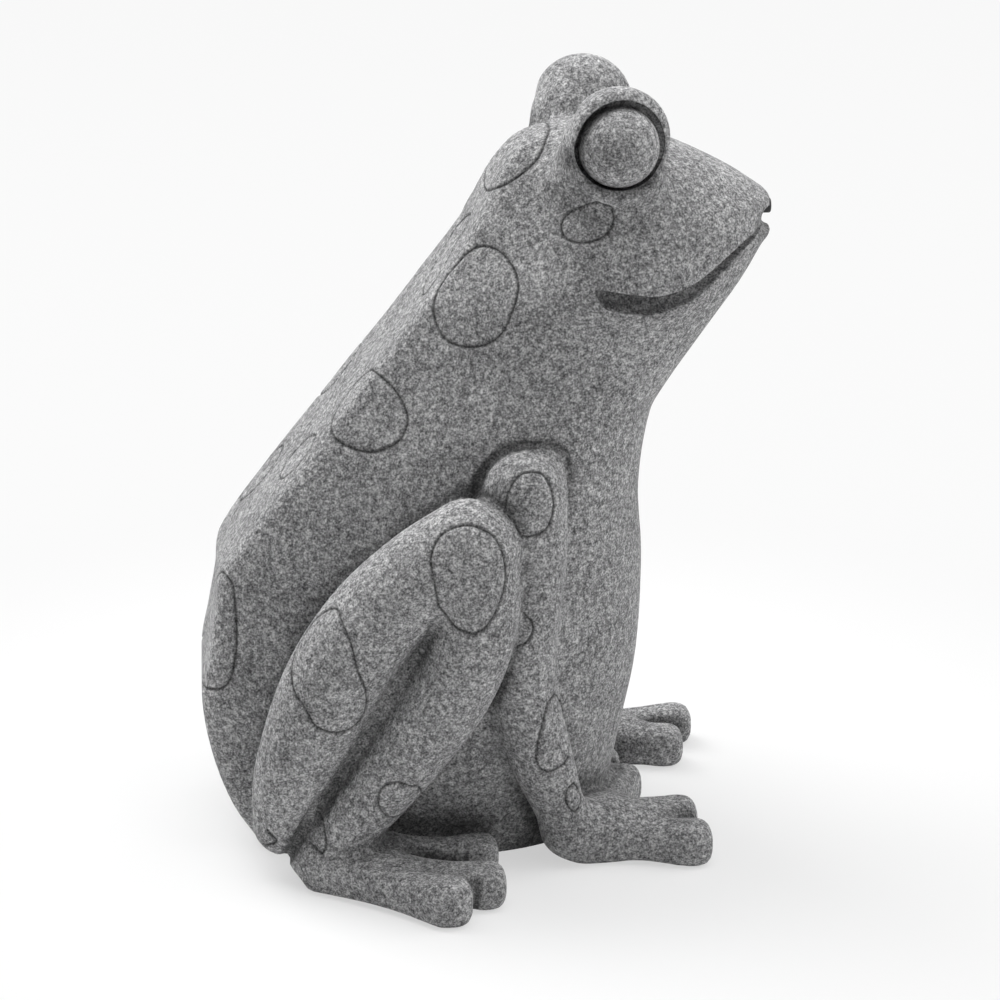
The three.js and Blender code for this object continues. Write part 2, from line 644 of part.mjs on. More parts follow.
function supplyTube() {
  const at = (x, z) => new THREE.Vector3(x, 0, z);
  const leave = tubeLow + BARB_LENGTH + 5;
  const arrive = tubeHigh - BARB_LENGTH - 5;
  const path = new THREE.CurvePath();
  path.add(new THREE.LineCurve3(at(INLET_X, tubeLow), at(INLET_X, leave)));
  const lower = at(INLET_X, leave + TUBE_BEND.rise * (spoutZ - leave));
  const upper = at(arrive - TUBE_BEND.run * (arrive - INLET_X), spoutZ);
  path.add(new THREE.CubicBezierCurve3(at(INLET_X, leave), lower, upper, at(arrive, spoutZ)));
  path.add(new THREE.LineCurve3(at(arrive, spoutZ), at(tubeHigh, spoutZ)));
  const shape = new THREE.Shape();
  shape.absarc(0, 0, TUBE_OUTER, 0, 2 * Math.PI, false);
  shape.holes.push(roundHole(0, 0, tubeInner));
  const along = { steps: 20, extrudePath: path, curveSegments: 5, bevelEnabled: false };
  return new THREE.ExtrudeGeometry(shape, along);
}

function hoseClip() {
  const inner = TUBE_OUTER + GAP;
  const outer = inner + CLIP_THICK;
  let clip = solid(turned(ringProfile(inner, outer, -CLIP_WIDTH / 2, CLIP_WIDTH / 2)));
  for (const side of [1, -1]) {
    const from = outer - CLIP_THICK / 3;
    const apart = (CLIP_THICK + GAP) * side;
    const ear = box(-CLIP_THICK / 2, CLIP_THICK / 2, from, from + CLIP_EAR, -CLIP_WIDTH / 4, CLIP_WIDTH / 4);
    clip = clip.add(solid(ear.translate(apart, 0, 0)));
  }
  return geometryOf(clip);
}

function lowerHoseClip() {
  return hoseClip().translate(INLET_X, 0, tubeLow + BARB_LENGTH / 2);
}

function upperHoseClip() {
  return hoseClip().rotateY(Math.PI / 2).translate(tubeHigh - BARB_LENGTH / 2, 0, spoutZ);
}

// Spout nozzle and grommet
function spoutNozzle() {
  const flangeFront = seatX - GAP - GROMMET_FLANGE - GAP;
  const flangeRear = flangeFront - SPOUT_FLANGE;
  const flangeRadius = grommetRadius - SLIDE_GAP;
  const profile = [
    [WATER_BORE, flangeRear - BARB_LENGTH], [barbNeck, flangeRear - BARB_LENGTH],
    [barbRadius, flangeRear - barbRings[1]], [barbNeck, flangeRear - barbRings[1]],
    [barbRadius, flangeRear - barbRings[0]], [barbNeck, flangeRear - barbRings[0]],
    [barbNeck, flangeRear], [flangeRadius, flangeRear],
    [flangeRadius, flangeFront], [SPOUT_RADIUS, flangeFront],
    [SPOUT_RADIUS, spoutTip - JET.length], [JET.radius, spoutTip - JET.length],
    [JET.radius, spoutTip - JET.round], [JET.radius - JET.round, spoutTip],
    [JET.bore, spoutTip], [JET.bore, spoutTip - JET.length - JET.wall],
    [WATER_BORE, spoutTip - JET.length - 2 * JET.wall], [WATER_BORE, flangeRear - BARB_LENGTH],
  ];
  return turnedAlongX(profile).translate(0, 0, spoutZ);
}

function nozzleGrommet() {
  const rear = seatX - GAP - GROMMET_FLANGE;
  const inner = SPOUT_RADIUS + GAP;
  const outer = inner + GROMMET_THICK;
  const profile = [
    [inner, rear], [grommetRadius, rear], [grommetRadius, seatX - GAP], [outer, seatX - GAP],
    [outer, seatX + GROMMET_LENGTH], [inner, seatX + GROMMET_LENGTH], [inner, rear],
  ];
  return turnedAlongX(profile).translate(0, 0, spoutZ);
}

// Materials and assembly
const FINISH = {
  granite: { color: 0x7f7f7c, roughness: 0.85, metalness: 0 },
  black: { color: 0x1d1d1e, roughness: 0.55, metalness: 0 },
  rubber: { color: 0x262626, roughness: 0.9, metalness: 0 },
  steel: { color: 0xb8babc, roughness: 0.35, metalness: 1 },
  vinyl: { color: 0xcfd6d4, roughness: 0.25, metalness: 0 },
};

const frog = new THREE.Group();
frog.name = 'frog_water_spitter';

function place(name, finish, geometry) {
  const mesh = new THREE.Mesh(closed(geometry), new THREE.MeshStandardMaterial(FINISH[finish]));
  mesh.name = name;
  frog.add(mesh);
}

place('body_shell', 'granite', bodyShell());
place('base_cover', 'black', baseCover());
place('cover_gasket', 'rubber', coverGasket());
screwSpots().forEach((spot, i) => place(`cover_screw_${i + 1}`, 'steel', coverScrew(spot)));
place('filler_plug', 'black', fillerPlug());
place('plug_seal', 'rubber', plugSeal());
place('inlet_elbow', 'black', inletElbow());
place('inlet_washer', 'rubber', inletWasher());
place('inlet_nut', 'black', inletNut());
place('hose_adapter', 'black', hoseAdapter());
place('supply_tube', 'vinyl', supplyTube());
place('lower_hose_clip', 'steel', lowerHoseClip());
place('upper_hose_clip', 'steel', upperHoseClip());
place('spout_nozzle', 'black', spoutNozzle());
place('nozzle_grommet', 'rubber', nozzleGrommet());

export default frog;
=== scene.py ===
"""Frog water spitter: the looks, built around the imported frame. Lengths in the tables are millimetres."""

import json
import logging
import math
from collections.abc import Callable, Sequence
from dataclasses import dataclass, field
from enum import Enum

import bmesh
import bpy
import numpy as np
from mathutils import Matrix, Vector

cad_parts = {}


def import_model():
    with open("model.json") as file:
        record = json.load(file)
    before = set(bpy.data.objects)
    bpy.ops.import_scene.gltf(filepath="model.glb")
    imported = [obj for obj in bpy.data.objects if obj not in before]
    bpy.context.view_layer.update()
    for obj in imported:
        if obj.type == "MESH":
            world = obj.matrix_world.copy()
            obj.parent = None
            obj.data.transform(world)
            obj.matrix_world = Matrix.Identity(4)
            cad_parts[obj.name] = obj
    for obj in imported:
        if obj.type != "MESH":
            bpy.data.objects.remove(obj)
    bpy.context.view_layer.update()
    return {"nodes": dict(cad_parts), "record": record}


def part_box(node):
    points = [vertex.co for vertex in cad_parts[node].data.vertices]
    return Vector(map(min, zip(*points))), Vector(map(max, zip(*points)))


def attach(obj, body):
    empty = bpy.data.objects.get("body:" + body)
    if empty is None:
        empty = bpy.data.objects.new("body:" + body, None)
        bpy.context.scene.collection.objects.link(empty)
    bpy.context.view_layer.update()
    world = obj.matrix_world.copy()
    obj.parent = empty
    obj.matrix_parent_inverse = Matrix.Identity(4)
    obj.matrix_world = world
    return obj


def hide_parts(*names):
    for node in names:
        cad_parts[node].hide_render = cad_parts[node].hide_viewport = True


LOG = logging.getLogger("frog_spitter")
MM = 0.001
Array = np.ndarray
Rows = tuple[tuple[float, ...], ...]
Pair = tuple[float, float]
Point = tuple[float, float, float]
Axes = tuple[Array, Array, Array]
Piece = bpy.types.Object
Material = bpy.types.Material
Socket = bpy.types.NodeSocket
RIGHT, LEFT = -1.0, 1.0


class Slot(Enum):
    """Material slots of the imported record."""

    GRANITE = "granite_resin"
    PLASTIC = "black_plastic"
    RUBBER = "black_rubber"
    STEEL = "steel"
    VINYL = "clear_vinyl"


class Axis(Enum):
    """Direction of a turned piece's axis."""

    UP = "z"
    LENGTH = "x"


class Cut(Enum):
    """How a cutter meets the skin."""

    TAKE_AWAY = "DIFFERENCE"
    ADD = "UNION"


Made = list[tuple[Piece, str, Slot]]


# Curves, distance fields and surfaces


def circle(count: int) -> Array:
    """Angles of points spread evenly round a circle, shape (1, count)."""
    return np.linspace(0.0, 2.0 * np.pi, count, endpoint=False)[None, :]


def unit(rows: Array) -> Array:
    """Rows scaled to a length of one."""
    return rows / np.maximum(np.linalg.norm(rows, axis=1, keepdims=True), 1e-6)


def through(knots: Array, values: Array, at: Array) -> Array:
    """Smooth curve through table values: cubic pieces with the mean slope of the neighbours at each knot.

    Args:
        knots: rising positions, shape (n,).
        values: one row of values for each knot, shape (n, m).
        at: positions to read, shape (k,).

    Returns:
        Values at the positions, shape (k, m).
    """
    last = len(knots) - 1
    index = np.arange(len(knots))
    low, high = np.maximum(index - 1, 0), np.minimum(index + 1, last)
    slope = (values[high] - values[low]) / (knots[high] - knots[low])[:, None]
    at = np.clip(at, knots[0], knots[last])
    i = np.clip(np.searchsorted(knots, at, side="right") - 1, 0, last - 1)
    span = (knots[i + 1] - knots[i])[:, None]
    t = (at - knots[i])[:, None] / span
    rise = t * t * (3.0 - 2.0 * t)
    bend = t * (1.0 - t) ** 2 * span * slope[i] + t * t * (t - 1.0) * span * slope[i + 1]
    return values[i] * (1.0 - rise) + values[i + 1] * rise + bend


def centre_line(stations: Rows, per_stretch: int, side: float = RIGHT) -> Array:
    """Points and radii along a limb's smooth centre line.

    Args:
        stations: x, y, z and radius at each station of the right limb.
        per_stretch: samples between two stations.
        side: the right limb, or its mirror image on the left.

    Returns:
        Samples, shape (k, 4).
    """
    table = np.array(stations, float) * (1.0, -side, 1.0, 1.0)
    knots = np.arange(len(table), dtype=float)
    return through(knots, table, np.linspace(0.0, knots[-1], (len(table) - 1) * per_stretch + 1))


def blend_union(a: Array, b: Array, width: float) -> Array:
    """Union of two fields with a fillet w wide: min(a, b) - h h w / 4 with h = max(w - |a - b|, 0) / w."""
    h = np.maximum(width - np.abs(a - b), 0.0) / width
    return np.minimum(a, b) - h * h * (0.25 * width)


def blend_cut(a: Array, b: Array, width: float) -> Array:
    """Field a with b taken away and the edge rounded over the width."""
    return -blend_union(-a, b, width)


@dataclass
class Lattice:
    """Square lattice around the frog, with one plane of points on the middle plane."""

    low: Point = (-134.3, -136.0, -14.0)
    high: Point = (134.3, 136.0, 342.0)
    step: float = 1.7

    def axes(self) -> Axes:
        """Positions of the lattice planes along x, y and z."""
        spans = zip(self.low, self.high)
        x, y, z = (np.arange(a, b + self.step / 2, self.step, dtype=np.float32) for a, b in spans)
        return x, y, z

    def part(self, at: tuple[slice, slice, slice]) -> Axes:
        """Positions of the lattice planes inside a window."""
        x, y, z = (planes[span] for planes, span in zip(self.axes(), at))
        return x, y, z

    def window(self, samples: Array, margin: float) -> tuple[slice, slice, slice]:
        """Part of the lattice within a margin of a limb's samples.

        Args:
            samples: x, y, z and radius rows.
            margin: room to leave around the limb.

        Returns:
            One slice for each axis.
        """
        reach = samples[:, 3].max() + margin
        first = np.floor((samples[:, :3].min(0) - reach - self.low) / self.step).astype(int)
        last = np.ceil((samples[:, :3].max(0) + reach - self.low) / self.step).astype(int) + 1
        a, b, c = (slice(max(i, 0), max(j, 1)) for i, j in zip(first, last))
        return a, b, c


def rod_field(axes: Axes, samples: Array, square: bool = False) -> Array:
    """Distance to a tapered rod: the least over its short stretches of |p - a - s (b - a)| - radius at s.

    A squarish rod takes the cube root of |x|^3 + |y|^3 + |z|^3 for the length.

    Args:
        axes: lattice positions along x, y and z.
        samples: x, y, z and radius along the centre line.
        square: make the rod squarish.

    Returns:
        Distances on the lattice, negative inside.
    """
    x, y, z = axes[0][:, None, None], axes[1][None, :, None], axes[2][None, None, :]
    best = np.full((len(axes[0]), len(axes[1]), len(axes[2])), 1e3, np.float32)
    for a, b in zip(samples[:-1].astype(np.float32), samples[1:].astype(np.float32)):
        d = b - a
        px, py, pz = x - a[0], y - a[1], z - a[2]
        s = np.clip((px * d[0] + py * d[1] + pz * d[2]) / max(float(d[:3] @ d[:3]), 1e-6), 0.0, 1.0)
        gaps = [p - s * q for p, q in zip((px, py, pz), d)]
        away = np.cbrt(sum(np.abs(g) * g * g for g in gaps)) if square else np.sqrt(sum(g * g for g in gaps))
        best = np.minimum(best, away - (a[3] + s * d[3]))
    return best


CORNERS = tuple((i, j, k) for i in (0, 1) for j in (0, 1) for k in (0, 1))
CELL_EDGES = tuple(
    (a, b) for a in CORNERS for b in CORNERS if sum(b) == sum(a) + 1 and all(np.less_equal(a, b))
)


def surface_of(values: Array, low: Array, step: float) -> tuple[Array, Array]:
    """Zero surface of a field: one point in each cell that it crosses, one face over each crossed edge.

    Args:
        values: field on a full lattice, negative inside.
        low: lowest corner of the lattice.
        step: lattice spacing.

    Returns:
        Points, shape (n, 3), and four-sided faces, shape (m, 4), facing outwards.
    """
    cells = tuple(n - 1 for n in values.shape)
    inside = values < 0

    def corner(a: Array, s: tuple[int, int, int]) -> Array:
        """View of an array moved to one corner of every cell."""
        return a[s[0] : s[0] + cells[0], s[1] : s[1] + cells[1], s[2] : s[2] + cells[2]]

    count = np.zeros(cells, np.int8)
    for s in CORNERS:
        count += corner(inside, s)
    mixed = (count > 0) & (count < 8)
    number = np.full(cells, -1, np.int64)
    number[mixed] = np.arange(int(mixed.sum()))
    at = {s: corner(values, s)[mixed] for s in CORNERS}
    total = np.zeros((int(mixed.sum()), 3))
    hits = np.zeros(int(mixed.sum()))
    for a, b in CELL_EDGES:
        cross = (at[a] < 0) != (at[b] < 0)
        t = np.where(cross, at[a] / np.where(cross, at[a] - at[b], 1.0), 0.0)
        total += (np.array(a) + t[:, None] * (np.array(b) - np.array(a))) * cross[:, None]
        hits += cross
    points = low + step * (np.argwhere(mixed) + total / hits[:, None])

    faces = []
    for axis in range(3):
        u, v = (axis + 1) % 3, (axis + 2) % 3
        first = np.moveaxis(inside, (axis, u, v), (0, 1, 2))
        cell = np.moveaxis(number, (axis, u, v), (0, 1, 2))
        change = first[:-1, 1:-1, 1:-1].astype(np.int8) - first[1:, 1:-1, 1:-1]
        i, j, k = np.nonzero(change)
        quad = np.stack([cell[i, j, k], cell[i, j + 1, k], cell[i, j + 1, k + 1], cell[i, j, k + 1]], 1)
        turned = change[i, j, k] < 0
        quad[turned] = quad[turned][:, ::-1]
        faces.append(quad)
    return points, np.concatenate(faces)


@dataclass
class Field:
    """Distance field of the whole frog, read between the lattice points."""

    values: Array
    low: Array
    step: float

    def read(self, points: Array) -> tuple[Array, Array]:
        """Field and its gradient at points, from the eight lattice values around each.

        Args:
            points: positions, shape (n, 3).

        Returns:
            Values, shape (n,), and gradients, shape (n, 3).
        """
        place = (points - self.low) / self.step
        cell = np.clip(np.floor(place).astype(int), 0, np.array(self.values.shape) - 2)
        t = place - cell
        value = np.zeros(len(points))
        slope = np.zeros((len(points), 3))
        for s in CORNERS:
            v = self.values[cell[:, 0] + s[0], cell[:, 1] + s[1], cell[:, 2] + s[2]]
            w = np.where(np.array(s) == 1, t, 1.0 - t)
            sign = np.where(np.array(s) == 1, 1.0, -1.0)
            value += v * w.prod(1)
            others = np.stack([w[:, 1] * w[:, 2], w[:, 0] * w[:, 2], w[:, 0] * w[:, 1]], 1)
            slope += (v[:, None] * sign) * others
        return value, slope / self.step

    def settle(self, points: Array, rounds: int = 3) -> Array:
        """Points moved down the gradient on to the zero surface.

        Args:
            points: positions near the surface, shape (n, 3).
            rounds: number of moves.

        Returns:
            The moved points.
        """
        for _ in range(rounds):
            value, slope = self.read(points)
            size = np.maximum((slope * slope).sum(1), 0.2)
            points = points - np.clip(value / size, -self.step, self.step)[:, None] * slope
        return points


def split_edges(
    points: Array, faces: Array, away: Callable[[Array, float], Array], longest: float, reach: float
) -> tuple[Array, Array]:
    """Triangles with their long edges halved wherever an edge comes within reach of the lines.

    A triangle with one, two or three halved edges becomes two, three or four triangles.

    Args:
        points: positions, shape (n, 3).
        faces: triangles, shape (m, 3).
        away: gives the distance from positions to the lines, up to a greatest distance.
        longest: edges up to this length stay whole.
        reach: distance from the lines.

    Returns:
        All points, new ones last, and the new triangles.
    """
    pairs = np.sort(np.concatenate([faces[:, [0, 1]], faces[:, [1, 2]], faces[:, [2, 0]]]), axis=1)
    code, back = np.unique(pairs[:, 0] * len(points) + pairs[:, 1], return_inverse=True)
    ends = np.stack([code // len(points), code % len(points)], 1)
    size = np.linalg.norm(points[ends[:, 0]] - points[ends[:, 1]], axis=1)
    centre = points[ends].mean(1)
    halved = size > longest
    most = 2.5 * longest
    span = np.minimum(0.5 * size[halved], most)
    halved[halved] = away(centre[halved], reach + most) < reach + span
    number = np.where(halved, len(points) + np.cumsum(halved) - 1, -1)
    middle = number[back.reshape(3, -1).T]
    count = (middle >= 0).sum(1)
    turn = np.where(count == 1, (middle >= 0).argmax(1), np.where(count == 2, (middle < 0).argmax(1) + 1, 0))
    order = (turn[:, None] + np.arange(3)) % 3
    corners = np.concatenate([np.take_along_axis(faces, order, 1), np.take_along_axis(middle, order, 1)], 1)
    patterns = {
        0: ((0, 1, 2),),
        1: ((0, 3, 2), (3, 1, 2)),
        2: ((3, 1, 4), (0, 3, 4), (0, 4, 2)),
        3: ((0, 3, 5), (3, 1, 4), (5, 4, 2), (3, 4, 5)),
    }
    parts = [corners[count == n][:, row] for n, rows in patterns.items() for row in rows]
    return np.concatenate([points, centre[halved]]), np.concatenate(parts)


def distance_to(points: Array, line: Array, reach: float) -> Array:
    """Distance from points to the nearest sample of a line, or the reach where they are further away.

    Args:
        points: positions, shape (n, 3).
        line: samples close together, shape (k, 3).
        reach: greatest distance of interest.

    Returns:
        Distances, shape (n,).
    """
    away = np.full(len(points), reach)
    inside = ((points > line.min(0) - reach) & (points < line.max(0) + reach)).all(1)
    gap = points[inside][:, None, :].astype(np.float32) - line[None].astype(np.float32)
    away[inside] = np.minimum(np.sqrt((gap * gap).sum(-1).min(1)), reach)
    return away


def put_mesh(name: str, points: Array, faces: list[Array]) -> Piece:
    """Mesh object at the origin from millimetre points and faces.

    Args:
        name: object name.
        points: positions in millimetres, shape (n, 3).
        faces: index arrays, each of shape (m, corners).

    Returns:
        The linked object.
    """
    mesh = bpy.data.meshes.new(name)
    loops = np.concatenate([f.ravel() for f in faces]).astype(np.int32)
    sizes = np.concatenate([np.full(len(f), f.shape[1]) for f in faces]).astype(np.int32)
    starts = np.concatenate([[0], np.cumsum(sizes)[:-1]]).astype(np.int32)
    mesh.vertices.add(len(points))
    mesh.vertices.foreach_set("co", (np.asarray(points) * MM).astype(np.float32).ravel())
    mesh.loops.add(len(loops))
    mesh.loops.foreach_set("vertex_index", loops)
    mesh.polygons.add(len(sizes))
    mesh.polygons.foreach_set("loop_start", starts)
    mesh.update(calc_edges=True)
    mesh.validate()
    piece = bpy.data.objects.new(name, mesh)
    bpy.context.scene.collection.objects.link(piece)
    return piece


def tube_faces(rings: int, around: int, closed_path: bool = False) -> list[Array]:
    """Faces of a grid of rings: four-sided between rings, one many-sided face over each open end.

    Args:
        rings: number of rings.
        around: points in a ring.
        closed_path: join the last ring to the first instead of closing both ends.

    Returns:
        Index arrays for put_mesh.
    """
    steps = rings if closed_path else rings - 1
    i, j = np.meshgrid(np.arange(steps), np.arange(around), indexing="ij")
    a, b = i * around + j, i * around + (j + 1) % around
    c, d = ((i + 1) % rings) * around + (j + 1) % around, ((i + 1) % rings) * around + j
    sides = np.stack([a, b, c, d], -1).reshape(-1, 4)
    if closed_path:
        return [sides]
    ends = np.arange(around)
    return [sides, ends[None, ::-1], ends[None, :] + (rings - 1) * around]


def put_rings(name: str, rings: Array, closed_path: bool = False) -> Piece:
    """Closed surface over a grid of rings, shape (n, m, 3), turned to face outwards."""
    count, around = rings.shape[:2]
    piece = put_mesh(name, rings.reshape(-1, 3), tube_faces(count, around, closed_path))
    face_outwards(piece)
    return piece


def face_outwards(piece: Piece) -> None:
    """Merge doubles and recalculate the normals of a closed mesh."""
    shape = bmesh.new()
    shape.from_mesh(piece.data)
    bmesh.ops.remove_doubles(shape, verts=shape.verts, dist=1e-7)
    bmesh.ops.recalc_face_normals(shape, faces=shape.faces)
    shape.to_mesh(piece.data)
    shape.free()


def settle_modifier(piece: Piece) -> None:
    """Replace a piece's mesh by what its modifier makes of it."""
    view = bpy.context.evaluated_depsgraph_get()
    result = bpy.data.meshes.new_from_object(piece.evaluated_get(view))
    piece.modifiers.clear()
    old = piece.data
    piece.data = result
    result.name = piece.name
    bpy.data.meshes.remove(old)


def thin_out(piece: Piece, share: float) -> None:
    """Keep a share of a mesh's triangles, fewest where it is flat."""
    step = piece.modifiers.new("thin", "DECIMATE")
    step.ratio = share
    step.use_collapse_triangulate = True
    settle_modifier(piece)


def join_cut(piece: Piece, cutter: Piece, how: Cut) -> None:
    """Cut or join another closed mesh into a piece, then remove that mesh.

    Args:
        piece: mesh that is changed.
        cutter: mesh that is used up.
        how: add or take away.
    """
    step = piece.modifiers.new("cut", "BOOLEAN")
    step.object = cutter
    step.operation = how.value
    step.solver = "MANIFOLD"
    settle_modifier(piece)
    spare = cutter.data
    bpy.data.objects.remove(cutter)
    bpy.data.meshes.remove(spare)


# The frog's form


@dataclass
class Torso:
    """Torso and head: a round front and a flat back between two ridges, level by level."""

    levels: Rows = (
        (0, -98, 50, 52, 38, -20), (20, -110.4, 56, 58, 39, -20), (45, -118.8, 61, 64, 39, -20),
        (70, -122, 66, 67, 38, -19), (90, -118.4, 68, 68, 37, -18), (108, -115, 68.6, 68, 36, -15),
        (124, -112.4, 68.6, 68, 35.5, -12), (154, -91.2, 67, 65, 35, -4), (187, -65.5, 72, 60.5, 32, 8),
        (200, -55.5, 79.5, 57.5, 31, 13.4), (216, -42.5, 91, 54.8, 30, 20), (230, -31.8, 101, 55, 29, 25),
        (240, -24.5, 108, 56.6, 28, 28), (248, -18.5, 113, 56, 27, 31), (256, -12.5, 117.6, 53, 26, 34),
        (261, -9, 120.6, 51, 25.5, 36), (264, -7, 120.9, 50, 25, 37), (268.4, -5, 121, 48.6, 24.6, 38.4),
        (272, -3, 121, 47, 24, 40), (275.4, -1.2, 120.8, 45.2, 23, 41.3),
        (276.8, -0.6, 119.6, 44.5, 22.6, 42), (279, 0.5, 116.6, 43, 22, 43), (286, 4, 106, 39, 20, 46),
        (293, 8.5, 92.5, 35, 17, 48), (299, 13.5, 79, 30, 14, 48), (304, 20.5, 67, 24, 11, 47),
        (308, 28, 57, 14, 6, 46),
    )
    front_round: float = 2.2
    ridge_sharp: float = 28.0
    flank_bulge: float = 1.05
    crown_round: float = 8.0

    def at(self, z: Array) -> Array:
        """Rear line, front line, half width, ridge half width and middle at heights z, shape (k, 5)."""
        table = np.array(self.levels, float)
        return through(table[:, 0], table[:, 1:], np.atleast_1d(z))

    def reach(self, level: Array, x: Array, y: Array) -> Array:
        """Distance from the middle to the outline along the unit direction (x, |y|).

        The outline is the smooth least of three: an oval for the front, the back plane, and the flank plane
        from the ridge to the widest place; the three inverse distances are joined by a high power mean.

        Args:
            level: rear, front, half width, ridge and middle, with the last axis of size 5.
            x: forward part of the direction.
            y: sideways part, not negative.

        Returns:
            Distances, always positive.
        """
        back, front, half, ridge, middle = (level[..., i] for i in range(5))
        rear, side = middle - back, half * self.flank_bulge
        ref, power = 60.0, self.ridge_sharp
        ahead = np.maximum(x, 0.0) / (front - middle)
        bow = (ahead**self.front_round + (y / half) ** self.front_round) ** (1.0 / self.front_round)
        flat = np.maximum(-x, 0.0) / rear
        flank = np.maximum(0.0, -x * (side - ridge) + y * rear) / (rear * side)
        total = (ref * bow) ** power + (ref * flat) ** power + (ref * flank) ** power
        return ref * np.maximum(total, 1e-9) ** (-1.0 / power)

    def field(self, axes: Axes, step: float) -> Array:
        """Distance to the torso: distance from the middle less the reach, divided by its gradient.

        The left half is worked out and mirrored.

        Args:
            axes: lattice positions along x, y and z.
            step: lattice spacing.

        Returns:
            Distances on the lattice.
        """
        level = self.at(axes[2]).astype(np.float32)[None, None, :, :]
        x = axes[0][:, None, None] - level[..., 4]
        y = np.abs(axes[1][len(axes[1]) // 2 :])[None, :, None]
        out = np.sqrt(x * x + y * y) + 1e-3
        away = (out - self.reach(level, x / out, y / out)).astype(np.float32)
        slope = np.sqrt(sum(g * g for g in np.gradient(away, step)))
        away /= np.clip(slope, 1.0, 4.0)
        top = axes[2][None, None, :] - self.levels[-1][0]
        half = -blend_union(-away, -top, self.crown_round)
        return np.concatenate([half[:, :0:-1], half], axis=1)

    def ring(self, z: float, inset: float, around: int) -> Array:
        """Outline at a height, drawn in by an inset.

        Args:
            z: height.
            inset: distance towards the middle.
            around: number of points.

        Returns:
            Points, shape (around, 3).
        """
        turn = 2.0 * np.pi * (np.arange(around) + 0.5) / around
        level = self.at(np.array([z]))[0]
        r = self.reach(level, np.cos(turn), np.abs(np.sin(turn))) - inset
        return np.stack([level[4] + r * np.cos(turn), r * np.sin(turn), np.full(around, z)], 1)


@dataclass
class Limb:
    """Round limb along a smooth centre line, with the width of its fillet to what it joins."""

    name: str
    stations: Rows
    fillet: float
    per_stretch: int = 6


@dataclass
class Foot:
    """Sole and toes of a foot, joined by webs; the tables are for the right side."""

    name: str
    toes: tuple[Rows, ...]
    web: float = 7.0
    fillet: float = 6.0
    square: bool = True
    sides: tuple[float, ...] = (RIGHT, LEFT)


@dataclass
class Crease:
    """Groove dug along a line on the skin, with the width of its rounded edges."""

    name: str
    stations: Rows
    edge: float = 1.2


